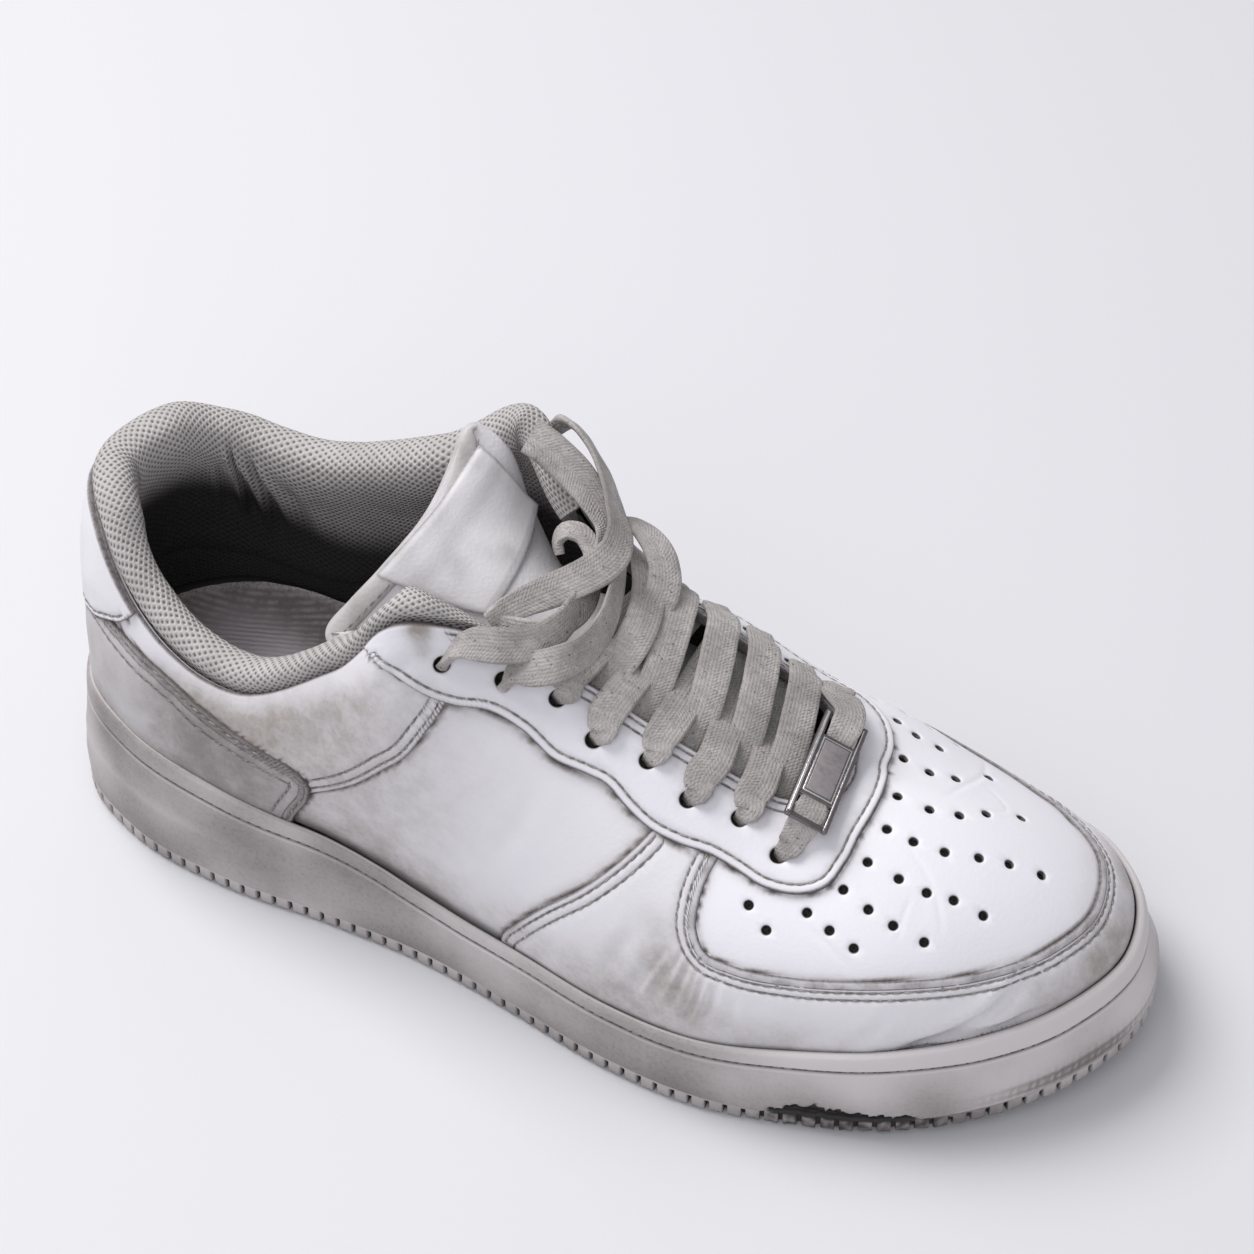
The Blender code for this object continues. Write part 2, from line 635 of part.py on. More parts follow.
KNOT_CENTRE = (147.5, 12.5, 109.0)
KNOT_SIZE = (13.0, 12.0, 8.0)
# Routes of the loose laces, each from its eyelet to the knot or from the knot to its end.
ROUTES = {
    "lace_outer_top": (
        (127.4, -28.6, 107.8), (131.2, -26.4, 109.0), (137.9, -24.4, 109.4), (144.0, -20.8, 109.4),
        (148.1, -13.4, 109.4), (148.9, -5.4, 109.2), (148.6, 2.0, 109.2),
    ),
    "lace_outer_second": (
        (141.8, -25.4, 102.6), (145.4, -24.2, 104.0), (150.8, -21.8, 105.4), (155.6, -15.6, 106.2),
        (157.2, -7.4, 106.8), (156.2, 1.2, 107.4), (155.4, 4.6, 107.7),
    ),
    "lace_inner_top": (
        (127.5, 38.9, 124.0), (129.6, 39.2, 123.4), (134.6, 36.2, 121.4), (139.2, 32.4, 119.6),
        (143.2, 28.0, 117.9), (147.2, 22.8, 116.5), (149.6, 19.4, 115.9),
    ),
    "lace_end_collar": (
        (144.4, 21.4, 113.8), (141.0, 23.8, 116.6), (135.6, 26.0, 120.8), (130.0, 26.6, 125.2),
        (124.6, 26.4, 129.0), (121.9, 26.2, 130.2),
    ),
    "lace_end_tongue": (
        (150.4, 4.8, 114.2), (146.6, -1.0, 113.6), (142.6, -5.4, 112.8), (139.0, -9.0, 112.0),
        (135.4, -12.6, 111.0), (132.2, -16.0, 109.8),
    ),
}
CORD_STEP = 7.0


def build_knot(finish, collection):
    """Loose knot over the throat."""
    bpy.ops.mesh.primitive_uv_sphere_add(segments=12, ring_count=8, radius=0.5)
    knot = bpy.context.object
    knot.name = "lace_knot"
    knot.dimensions = [size * MM for size in KNOT_SIZE]
    bpy.ops.object.transform_apply(location=False, rotation=False, scale=True)
    knot.location = placed(KNOT_CENTRE)
    knot.data.materials.append(finish)
    move_to(knot, collection)
    return knot


def build_cord(name, route, finish, collection):
    """Loose lace as a round tube on a smooth route."""
    route = np.array(route)
    keys = np.concatenate([[0], np.cumsum(np.linalg.norm(np.diff(route, axis=0), axis=1))])
    points = through(keys, route, np.linspace(0, keys[-1], max(4, round(keys[-1] / CORD_STEP) + 1)))
    curve = bpy.data.curves.new(name, "CURVE")
    curve.dimensions = "3D"
    curve.bevel_depth = CORD_DIAMETER / 2 * MM
    curve.bevel_resolution = 2
    curve.use_fill_caps = True
    line = curve.splines.new("POLY")
    line.points.add(len(points) - 1)
    for spot, point in zip(line.points, points):
        spot.co = (*placed(point), 1.0)
    curve.materials.append(finish)
    made = bpy.data.objects.new(name, curve)
    collection.objects.link(made)
    return made


def main():
    """Build every piece in its own collection."""
    for old in list(bpy.data.objects):
        bpy.data.objects.remove(old, do_unlink=True)
    parts = bpy.data.collections.new(NAME)
    cutters = bpy.data.collections.new(NAME + "_cutters")
    bpy.context.scene.collection.children.link(parts)
    bpy.context.scene.collection.children.link(cutters)
    leather = material("white_leather", (0.78, 0.77, 0.79), 0.45)
    tongue_leather = material("tongue_leather", (0.74, 0.72, 0.73), 0.5)
    outsole_rubber = material("outsole_rubber", (0.42, 0.4, 0.4), 0.7)
    cup_rubber = material("cup_rubber", (0.55, 0.53, 0.53), 0.6)
    knit = material("grey_mesh", (0.5, 0.48, 0.47), 0.9)
    footbed = material("dark_footbed", (0.12, 0.11, 0.11), 0.9)
    cotton = material("grey_lace", (0.6, 0.58, 0.56), 0.9)
    steel = material("dark_steel", (0.3, 0.28, 0.28), 0.35, 1.0)
    build_outsole(outsole_rubber, parts, cutters)
    build_midsole(cup_rubber, parts)
    build_insole(footbed, parts)
    build_upper(leather, parts, cutters)
    build_collar(knit, parts)
    build_tongue(tongue_leather, parts)
    build_crossings(cotton, parts, cutters)
    build_lace_bar(cotton, parts)
    build_keeper(steel, parts, cutters)
    build_knot(cotton, parts)
    for name, route in ROUTES.items():
        build_cord(name, route, cotton, parts)


main()
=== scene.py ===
"""Worn low-top leather sneaker for a right foot, standing empty on its sole.

Tables are in millimetres: X runs from the back of the heel to the toe, Y is negative
on the outer side and Z is up from the ground. `placed` moves their points to the frame
of the finished shoe, in metres. On the leather, u is the distance round the sole's edge
from the back of the heel, by the outer side, and v runs from 0 at the sole's rim to 1
at the edge of the collar or throat.
"""

import logging
import math
from collections.abc import Callable
from dataclasses import dataclass, field
from enum import Enum

import bpy
import numpy as np
from mathutils import Matrix, Vector, geometry, noise


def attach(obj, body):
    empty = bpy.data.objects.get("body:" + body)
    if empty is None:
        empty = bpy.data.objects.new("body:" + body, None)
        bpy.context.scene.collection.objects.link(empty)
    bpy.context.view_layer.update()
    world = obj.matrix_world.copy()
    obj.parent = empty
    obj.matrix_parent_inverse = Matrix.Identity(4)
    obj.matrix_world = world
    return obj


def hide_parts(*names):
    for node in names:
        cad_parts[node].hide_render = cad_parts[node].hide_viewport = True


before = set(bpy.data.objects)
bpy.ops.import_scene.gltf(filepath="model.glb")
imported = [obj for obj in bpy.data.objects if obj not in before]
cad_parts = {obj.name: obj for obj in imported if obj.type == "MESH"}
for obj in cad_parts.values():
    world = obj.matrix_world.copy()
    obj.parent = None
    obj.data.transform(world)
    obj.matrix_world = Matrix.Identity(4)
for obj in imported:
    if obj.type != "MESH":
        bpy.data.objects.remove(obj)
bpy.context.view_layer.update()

log = logging.getLogger("sneaker")
Array = np.ndarray
Material = bpy.types.Material
Object = bpy.types.Object

MM = 0.001
TABLE_SHIFT = np.array([-151.85, 2.3, 0.0])
GAP = 0.3
WALL = 2.4
RIM_LEDGE = 2.0
# How many millimetres one v is taken as, along creases and over whole panels.
CREASE_SPAN = 80.0
PANEL_SPAN = 70.0


# ---------------------------------------------------------------- curves and vectors


def placed(points: Array) -> Array:
    """Table points in millimetres, as points of the finished shoe in metres."""
    return (np.asarray(points, float) + TABLE_SHIFT) * MM


def unit(vectors: Array) -> Array:
    """Vectors of length one, row by row."""
    vectors = np.atleast_2d(np.asarray(vectors, float))
    return vectors / np.maximum(np.linalg.norm(vectors, axis=1), 1e-9)[:, None]


def soft(low: float, high: float, value: Array) -> Array:
    """Smooth step from 0 at low to 1 at high."""
    t = np.clip((np.asarray(value, float) - low) / (high - low), 0, 1)
    return t * t * (3 - 2 * t)


def bell(distance: Array, width: float) -> Array:
    """Bell curve of a distance: 1 at 0, and 1/e where it is the width."""
    return np.exp(-((distance / width) ** 2))


def boxy(wave: Array, power: float) -> Array:
    """Wave from -1 to 1 drawn out to its ends, for sections between an oval and a box."""
    return np.sign(wave) * abs(wave) ** power


def through(keys: Array, values: Array, at: Array, period: float | None = None) -> Array:
    """Cubic Hermite curve through the values.

    Args:
        keys: rising positions of the values.
        values: one row for each key.
        at: positions to read.
        period: length of one turn, where the curve is closed.

    Returns:
        One row for each position.
    """
    keys = np.asarray(keys, float)
    values = np.asarray(values, float).reshape(len(keys), -1)
    if period:
        keys = np.concatenate([keys[-2:] - period, keys, keys[:2] + period])
        values = np.vstack([values[-2:], values, values[:2]])
    at = np.clip(np.atleast_1d(np.asarray(at, float)), keys[0], keys[-1])
    step = np.diff(keys)[:, None]
    rate = np.diff(values, axis=0) / step
    slope = (rate[:-1] * step[1:] + rate[1:] * step[:-1]) / (step[1:] + step[:-1])
    slope = np.vstack([rate[:1], slope, rate[-1:]])
    k = np.clip(np.searchsorted(keys, at, side="right") - 1, 0, len(keys) - 2)
    t = (at - keys[k])[:, None] / step[k]
    start, end = values[k], values[k + 1]
    first, last_slope = slope[k] * step[k], slope[k + 1] * step[k]
    return (
        (2 * t**3 - 3 * t**2 + 1) * start
        + (t**3 - 2 * t**2 + t) * first
        + (3 * t**2 - 2 * t**3) * end
        + (t**3 - t**2) * last_slope
    )


def lengths(points: Array) -> Array:
    """Distance along a polyline at each of its points."""
    return np.concatenate([[0.0], np.cumsum(np.linalg.norm(np.diff(points, axis=0), axis=1))])


def resampled(points: Array, spacing: float) -> Array:
    """Smooth curve through the points, as points at an even spacing."""
    points = np.asarray(points, float)
    keys = lengths(points)
    count = max(2, round(keys[-1] / spacing) + 1)
    return through(keys, points, np.linspace(0, keys[-1], count))


def nearest(points: Array, lines: list[Array]) -> Array:
    """Distance from each point to the nearest of some polylines."""
    best = np.full(len(points), 1e9)
    for line in lines:
        start, span = line[:-1], np.diff(line, axis=0)
        size = np.maximum((span**2).sum(1), 1e-12)
        for low in range(0, len(points), 4000):
            block = points[low : low + 4000]
            away = block[:, None] - start[None]
            t = np.clip((away * span[None]).sum(2) / size, 0, 1)
            gap = np.linalg.norm(away - t[..., None] * span[None], axis=2).min(1)
            best[low : low + 4000] = np.minimum(best[low : low + 4000], gap)
    return best


def ripple(points: Array, scale: float, seed: float) -> Array:
    """Smooth noise from -1 to 1 at points in millimetres, with features of this size."""
    offset = Vector((seed, -seed * 0.7, seed * 1.3))
    return np.array([noise.noise(Vector(point) / scale + offset) for point in points])


# ---------------------------------------------------------------- the last


@dataclass
class Last:
    """Form of the shoe: plan of its sole, heights along it, and the leather's outer face.

    A station is the sole's edge (x, y), the leather's edge above it (x, y, z), how far
    the wall starts up and out (rise, lean), and the straight (run) that arrives at the
    edge, sloping outwards by pitch degrees. A height is x, the walking face, the cup's
    floor, the rim of its side, and how far the rim is in from the plan.
    """

    stations: tuple = (
        (0.5, -3.5, 8.5, -2.0, 100.5, 14, 0.5, 22, 74),
        (8.0, -27.0, 19.0, -19.0, 94.0, 14, 0.5, 20, 74),
        (30.0, -40.3, 36.0, -29.5, 77.5, 9, 1.0, 12, 68),
        (60.0, -45.5, 64.0, -35.0, 70.0, 8, 1.2, 11, 62),
        (92.0, -45.3, 94.0, -34.5, 91.0, 18, 2.5, 20, 66),
        (124.0, -47.2, 117.0, -30.5, 114.5, 28, 3.0, 34, 58),
        (138.0, -49.6, 131.0, -21.5, 107.5, 26, 2.5, 34, 42),
        (152.0, -52.5, 150.0, -16.5, 98.5, 24, 2.0, 34, 33),
        (180.0, -58.2, 178.0, -14.5, 85.0, 22, 1.0, 32, 26),
        (206.0, -59.4, 202.0, -13.0, 74.5, 22, 0.5, 32, 20),
        (230.0, -54.8, 211.0, -11.0, 71.5, 20, 0.5, 30, 14),
        (254.0, -47.8, 215.0, -8.0, 72.0, 18, 0.5, 34, 8),
        (276.0, -35.0, 217.0, -5.0, 72.0, 16, 0.5, 40, 5),
        (293.0, -18.0, 218.0, -2.5, 72.2, 15, 0.5, 44, 3),
        (303.0, 4.0, 218.3, 0.0, 72.3, 12, 0.5, 45, 2),
        (298.5, 27.0, 218.0, 2.5, 72.3, 11, 0.5, 42, 4),
        (284.0, 43.0, 217.0, 5.0, 72.3, 8, 1.0, 34, 8),
        (259.0, 51.8, 216.0, 9.0, 73.0, 9, 1.0, 31, 10),
        (228.0, 55.0, 212.0, 14.5, 75.0, 16, 1.0, 28, 13),
        (204.0, 52.5, 202.0, 18.0, 79.5, 21, 1.0, 38, 32),
        (180.0, 48.2, 178.0, 19.0, 90.5, 24, 1.5, 40, 32),
        (152.0, 42.8, 150.0, 21.5, 102.0, 26, 2.0, 35, 44),
        (138.0, 41.0, 135.0, 27.5, 112.0, 28, 2.5, 34, 50),
        (122.0, 39.5, 120.0, 40.0, 122.0, 30, 3.0, 30, 66),
        (92.0, 38.4, 93.0, 36.5, 107.0, 26, 2.0, 26, 70),
        (58.0, 39.2, 58.0, 36.0, 91.0, 16, 1.5, 18, 74),
        (28.0, 35.0, 31.0, 31.0, 96.5, 14, 1.0, 18, 74),
        (8.0, 20.0, 17.5, 18.5, 103.5, 14, 0.5, 20, 74),
    )
    heights: tuple = (
        (0, 2.0, 28.5, 43.6, 4.2),
        (10, 0.0, 28.5, 43.2, 3.6),
        (40, 0.0, 28.5, 41.2, 2.2),
        (60, 0.0, 28.0, 38.6, 1.6),
        (78, 0.0, 26.5, 35.3, 1.6),
        (96, 0.0, 23.5, 33.0, 1.6),
        (108, 0.0, 21.5, 30.0, 1.6),
        (118, 0.0, 19.5, 26.8, 1.6),
        (130, 0.0, 17.5, 24.6, 1.6),
        (150, 0.0, 15.0, 24.0, 1.6),
        (175, 0.0, 13.5, 23.6, 1.6),
        (195, 0.0, 13.0, 24.0, 1.6),
        (215, 0.0, 13.5, 25.5, 1.8),
        (230, 0.3, 14.0, 27.2, 2.2),
        (245, 1.2, 15.0, 29.4, 2.6),
        (260, 2.6, 16.5, 31.5, 3.2),
        (275, 4.6, 18.5, 33.0, 3.8),
        (290, 7.0, 21.0, 34.2, 4.8),
        (304, 9.6, 24.0, 35.4, 5.8),
    )
    eyelets: tuple = (
        (124.5, 9.5, 121.0, 9.5),
        (138.5, 8.5, 133.5, 8.5),
        (151.5, 7.0, 146.0, 8.5),
        (162.5, 11.5, 158.0, 10.5),
        (176.0, 8.5, 170.0, 8.5),
        (188.0, 11.8, 182.0, 10.5),
        (201.0, 9.5, 194.5, 8.0),
        (213.0, 15.0, 207.0, 11.5),
    )
    table: Array = field(init=False)
    levels: Array = field(init=False)
    keys: Array = field(init=False)
    round: float = field(init=False)

    def __post_init__(self) -> None:
        """Measure the way round the sole's edge."""
        self.table = np.array(self.stations, float)
        self.levels = np.array(self.heights, float)
        self.keys = lengths(self.table[:, :2])
        gap = np.linalg.norm(self.table[0, :2] - self.table[-1, :2])
        self.round = float(self.keys[-1] + gap)

    def height(self, x: Array, column: int) -> Array:
        """Height in this column of the table, at these x."""
        return through(self.levels[:, 0], self.levels[:, column], x)[:, 0]

    def ground(self, x: Array) -> Array:
        """Walking face at these x."""
        return np.maximum(self.height(x, 1), 0)

    def floor(self, x: Array) -> Array:
        """Floor of the cup at these x."""
        return self.height(x, 2)

    def rim(self, x: Array) -> Array:
        """Top of the cup's side at these x."""
        return self.height(x, 3)

    def rim_inset(self, x: Array) -> Array:
        """How far in from the plan the rim is at these x."""
        return self.height(x, 4)

    def outline(self, u: Array) -> tuple[Array, Array]:
        """Plan of the sole's edge at the distances u, and its outward normal."""
        plan = lambda at: through(self.keys, self.table[:, :2], np.mod(at, self.round), self.round)
        u = np.asarray(u, float)
        along = plan(u + 0.5) - plan(u - 0.5)
        return plan(u), unit(np.column_stack([along[:, 1], -along[:, 0]]))

    def shell(self, u: Array, v: Array) -> Array:
        """Leather's outer face at u and v."""
        u, v = np.broadcast_arrays(np.asarray(u, float), np.asarray(v, float))
        u, v = u.ravel(), v.ravel()[:, None]
        plan, normal = self.outline(u)
        inset = self.rim_inset(plan[:, 0]) + RIM_LEDGE + GAP
        root = plan - normal * inset[:, None]
        root = np.column_stack([root, self.rim(root[:, 0])])
        row = through(self.keys, self.table[:, 2:], np.mod(u, self.round), self.round)
        edge, (rise, lean, run, pitch) = row[:, :3], row[:, 3:].T
        away = root[:, :2] - edge[:, :2]
        reach = np.linalg.norm(away, axis=1)
        weight = np.clip((reach - 15) / 30, 0, 1)[:, None]
        outward = unit(normal * (1 - weight) + away / np.maximum(reach, 1e-6)[:, None] * weight)
        slope = np.radians(pitch)
        low = root + np.column_stack([normal * lean[:, None], rise])
        drop = np.column_stack([outward * np.cos(slope)[:, None], -np.sin(slope)])
        high = edge + run[:, None] * drop
        curve = (1 - v) ** 3 * root + 3 * v * (1 - v) ** 2 * low
        return curve + 3 * v**2 * (1 - v) * high + v**3 * edge

    def frame(self, u: Array, v: Array) -> tuple[Array, Array, Array, Array]:
        """Point, outward normal, and the surface's steps for one u and one v."""
        u, v = np.broadcast_arrays(np.asarray(u, float), np.asarray(v, float))
        u, v = u.ravel(), v.ravel()
        across = (self.shell(u + 0.4, v) - self.shell(u - 0.4, v)) / 0.8
        upward = (self.shell(u, v + 0.01) - self.shell(u, v - 0.01)) / 0.02
        return self.shell(u, v), unit(np.cross(across, upward)), across, upward

    def moved(self, u: Array, v: Array, step: Array) -> tuple[Array, Array]:
        """The u and v reached from u and v by a small step in space."""
        _, _, across, upward = self.frame(u, v)
        aa, bb, ab = (across**2).sum(1), (upward**2).sum(1), (across * upward).sum(1)
        sa, sb = (step * across).sum(1), (step * upward).sum(1)
        det = np.maximum(aa * bb - ab**2, 1e-9)
        return u + (sa * bb - sb * ab) / det, v + (sb * aa - sa * ab) / det

    def flat(self, u: Array, v: Array) -> Array:
        """Leather laid out flat round the plan, for drawing panels on it."""
        point, edge = self.shell(u, v), self.shell(u, np.ones_like(v))
        normal = self.outline(u)[1]
        return point[:, :2] + normal * (edge[:, 2] - point[:, 2])[:, None]

    def under_edge(self, x: float, below: float, side: int) -> tuple[float, float]:
        """Place (u, v) on the leather at x, this far down from the throat's edge.

        Args:
            x: distance from the heel.
            below: distance down the leather from its edge.
            side: -1 on the outer side and 1 on the inner.

        Returns:
            The u and v of the place.
        """
        first, final = (4, 14) if side < 0 else (14, 25)
        keys = np.linspace(self.keys[first], self.keys[final], 90)
        v = np.linspace(1.0, 0.3, 40)
        paths = self.shell(keys[:, None], v[None, :]).reshape(len(keys), len(v), 3)
        v_at = np.array([np.interp(below, lengths(path), v) for path in paths])
        x_at = self.shell(keys, v_at)[:, 0]
        order = np.argsort(x_at)
        u = float(np.interp(x, x_at[order], keys[order]))
        return u, float(np.interp(u, keys, v_at))

    def over(self, x: float, below: float, side: int, lift: float) -> tuple[Array, Array]:
        """Point this high over the leather below the throat's edge, and the way up."""
        u, v = self.under_edge(x, below, side)
        point, normal, _, _ = self.frame(u, v)
        return point[0] + normal[0] * lift, normal[0]

    def eyelet(self, number: int, side: int) -> tuple[float, float]:
        """The x and depth below the edge of an eyelet, numbered from the collar."""
        row = self.eyelets[number - 1]
        return row[:2] if side < 0 else row[2:]

    def facing_keys(self, pairs: int) -> Array:
        """Distances u in pairs that face each other across the shoe."""
        dense = np.linspace(0, self.round, 4000, endpoint=False)
        x = self.outline(dense)[0][:, 0]
        heel, toe = int(np.argmin(x)), int(np.argmax(x))
        turned = np.mod(np.arange(len(dense)) + heel, len(dense))
        split = int(np.mod(toe - heel, len(dense)))
        outer, inner = turned[: split + 1], turned[split:][::-1]
        part = (1 - np.cos(np.pi * np.arange(1, pairs) / pairs)) / 2
        stops = x[heel] + (x[toe] - x[heel]) * part
        unrolled = lambda side: dense[side] + np.where(
            dense[side] < dense[heel] - 1e-9, self.round, 0
        )
        lateral = np.interp(stops, x[outer], unrolled(outer))
        medial = np.interp(stops, x[inner], unrolled(inner))
        tip = unrolled(np.array([toe]))[0]
        return np.concatenate([[dense[heel]], lateral, [tip], medial[::-1]])


# ---------------------------------------------------------------- wear


@dataclass(frozen=True)
class Crease:
    """Soft trough in the leather along a line of (u, v), with a ridge beside it."""

    line: tuple[tuple[float, float], ...]
    depth: float
    width: float


@dataclass(frozen=True)
class DirtAndShadeSpot:
    """Round darker patch at a point of the leather; most are dirt, and some are painted shade."""

    x: float
    y: float
    z: float
    radius: float
    strength: float


@dataclass
class Wear:
    """What years of walking did: creases, hollows and dirt, over the whole upper, with painted shade in
    places among the dirt.
    """

    last: Last
    creases: tuple[Crease, ...] = (
        Crease(((225, 0.40), (224, 0.26), (221, 0.08)), 0.35, 0.7),
        Crease(((217, 0.42), (213, 0.28), (209, 0.12)), 0.35, 0.8),
        Crease(((221, 0.44), (219, 0.34), (216, 0.16)), 0.40, 0.7),
        Crease(((229, 0.30), (228, 0.20), (226, 0.07)), 0.28, 0.6),
        Crease(((223, 0.40), (221, 0.28), (218, 0.10)), 0.54, 1.1),
        Crease(((227, 0.36), (226, 0.22), (223, 0.06)), 0.46, 1.0),
        Crease(((219, 0.38), (215, 0.22), (212, 0.07)), 0.54, 1.2),
        Crease(((231, 0.33), (230, 0.20), (228, 0.08)), 0.38, 1.0),
        Crease(((214, 0.34), (209, 0.20), (205, 0.06)), 0.41, 1.4),
        Crease(((208, 0.44), (203, 0.28), (198, 0.12)), 0.47, 2.2),
        Crease(((236, 0.28), (236, 0.16), (234, 0.05)), 0.30, 1.2),
        Crease(((276, -0.03), (290, 0.03), (303, 0.11), (312, 0.20), (322, 0.25)), 1.9, 2.0),
        Crease(((284, -0.02), (298, 0.01), (312, 0.03), (326, 0.04)), 1.2, 1.6),
        Crease(((263, 0.02), (272, 0.12), (278, 0.22)), 0.41, 1.6),
        Crease(((432, 0.42), (414, 0.56), (399, 0.66), (384, 0.74), (366, 0.80)), 0.20, 0.8),
        Crease(((404, 0.62), (392, 0.60), (380, 0.62), (372, 0.70)), 0.12, 0.7),
        Crease(((318, 0.82), (312, 0.70), (305, 0.58), (299, 0.48)), 0.13, 0.8),
        Crease(((300, 0.66), (292, 0.60), (285, 0.50)), 0.10, 0.7),
        Crease(((255, 0.60), (262, 0.52), (268, 0.42)), 0.12, 0.9),
        Crease(((470, 0.42), (462, 0.32), (457, 0.16)), 0.54, 1.2),
        Crease(((476, 0.40), (471, 0.28), (469, 0.12)), 0.47, 1.1),
        Crease(((484, 0.44), (481, 0.28), (480, 0.10)), 0.54, 1.3),
        Crease(((492, 0.46), (492, 0.30), (494, 0.12)), 0.41, 1.6),
        Crease(((430, 0.05), (420, 0.14), (412, 0.22)), 0.54, 1.4),
        Crease(((118, 0.80), (112, 0.66), (100, 0.56)), 0.47, 3.0),
        Crease(((150, 0.93), (142, 0.86), (136, 0.76)), 0.34, 2.0),
        Crease(((60, 0.72), (63, 0.52), (58, 0.28)), 0.68, 5.0),
        Crease(((30, 0.66), (33, 0.48), (28, 0.24)), 0.47, 4.0),
        Crease(((176, 0.70), (172, 0.52), (166, 0.36)), 0.30, 2.4),
        Crease(((545, 0.72), (538, 0.52), (530, 0.30)), 0.41, 3.0),
        Crease(((600, 0.80), (604, 0.56), (596, 0.30)), 0.61, 5.0),
        Crease(((645, 0.74), (642, 0.50), (650, 0.28)), 0.54, 5.0),
    )
    # Spots of dirt; the broad one over the ankle (84, -39, 73) and the one on the heel tab (3, -20, 88) are
    # painted shade.
    dirt_and_shade_spots: tuple[DirtAndShadeSpot, ...] = (
        DirtAndShadeSpot(284, -22, 43, 10, 0.38), DirtAndShadeSpot(296, -6, 42, 11, 0.42), DirtAndShadeSpot(204, -53, 34, 9, 0.42),
        DirtAndShadeSpot(228, -51, 35, 9, 0.10), DirtAndShadeSpot(186, -54, 33, 15, 0.40), DirtAndShadeSpot(191, -48, 52, 9, 0.28),
        DirtAndShadeSpot(172, -53, 31, 13, 0.26), DirtAndShadeSpot(197, -52, 42, 8, 0.36), DirtAndShadeSpot(152, -49, 34, 10, 0.25),
        DirtAndShadeSpot(84, -39, 73, 30, 0.30), DirtAndShadeSpot(101, -38, 90, 12, 0.08), DirtAndShadeSpot(77, -38, 69, 9, 0.16),
        DirtAndShadeSpot(115, -34, 105, 7, 0.09), DirtAndShadeSpot(118, -30, 113, 3.4, 1.0), DirtAndShadeSpot(121, -33, 108, 2.6, 0.55),
        DirtAndShadeSpot(60, -42, 50, 16, 0.34), DirtAndShadeSpot(24, -33, 56, 16, 0.34), DirtAndShadeSpot(5, -5, 60, 22, 0.34),
        DirtAndShadeSpot(20, 30, 60, 20, 0.30), DirtAndShadeSpot(139, -42, 71, 14, 0.06), DirtAndShadeSpot(296, 5, 44, 14, 0.44),
        DirtAndShadeSpot(290, 30, 44, 15, 0.48), DirtAndShadeSpot(255, 50, 38, 14, 0.35), DirtAndShadeSpot(200, 50, 35, 16, 0.42),
        DirtAndShadeSpot(120, 40, 50, 18, 0.28), DirtAndShadeSpot(206, -9, 76, 5, 0.20), DirtAndShadeSpot(54, -38, 68, 13, 0.22),
        DirtAndShadeSpot(3, -20, 88, 16, 0.12), DirtAndShadeSpot(222, -52, 26, 9, 0.24), DirtAndShadeSpot(284, -16, 28, 12, 0.12),
    )
    paths: list = field(init=False)
    lines: list = field(init=False)

    def __post_init__(self) -> None:
        """Lay the creases on the leather."""
        self.paths, self.lines = [], []
        for crease in self.creases:
            u, v = resampled(np.array(crease.line) * (1, CREASE_SPAN), 1.0).T
            self.paths.append(np.column_stack([u, v / CREASE_SPAN]))
            self.lines.append(self.last.shell(u, v / CREASE_SPAN))

    def relief(self, points: Array) -> Array:
        """How far the leather stands out at these points, in millimetres."""
        out = 0.30 * ripple(points, 26, 3.1) + 0.10 * ripple(points, 9, 7.7)
        for crease, line in zip(self.creases, self.lines):
            low, high = line.min(0) - 4 * crease.width, line.max(0) + 4 * crease.width
            near = np.all((points > low) & (points < high), axis=1)
            if not near.any():
                continue
            ends = line[[0, -1]]
            away = nearest(points[near], [line]) / crease.width
            to_end = np.linalg.norm(points[near][:, None] - ends[None], axis=2).min(1)
            fade = soft(0, 0.3 * lengths(line)[-1], to_end)
            trough = -bell(away, 1) + 0.35 * bell(away - 1.9, 1)
            out[near] += crease.depth * trough * fade
        return out

    def dirt_wear_and_shade(self, points: Array, v: Array) -> Array:
        """How dark the leather is at these points, from 0 to 1: dirt, and painted shade in places."""
        # Darker towards the sole's rim, and along the middle of each side below the collar.
        side = soft(28, 48, points[:, 0]) * (1 - soft(105, 165, points[:, 0]))
        out = 0.24 * (1 - soft(0.0, 0.25, v)) + 0.40 * side * (1 - soft(0.78, 0.97, v))
        # Painted shade: a warm darkening low on the toe's sides.
        out = out + 0.04 * soft(205, 240, points[:, 0]) * (1 - soft(0.1, 0.36, v))
        for dark_spot in self.dirt_and_shade_spots:
            away = np.linalg.norm(points - (dark_spot.x, dark_spot.y, dark_spot.z), axis=1)
            out = out + dark_spot.strength * bell(away, dark_spot.radius)
        return np.clip(out, 0, 1)


# ---------------------------------------------------------------- finishes


class Slot(Enum):
    """Material slots of the part."""

    OUTSOLE = "outsole_rubber"
    CUP = "cup_rubber"
    FOOTBED = "dark_footbed"
    LEATHER = "white_leather"
    MESH = "grey_mesh"
    TONGUE = "tongue_leather"
    LACE = "grey_lace"
    STEEL = "dark_steel"


Colour = tuple[float, float, float]
Socket = bpy.types.NodeSocket


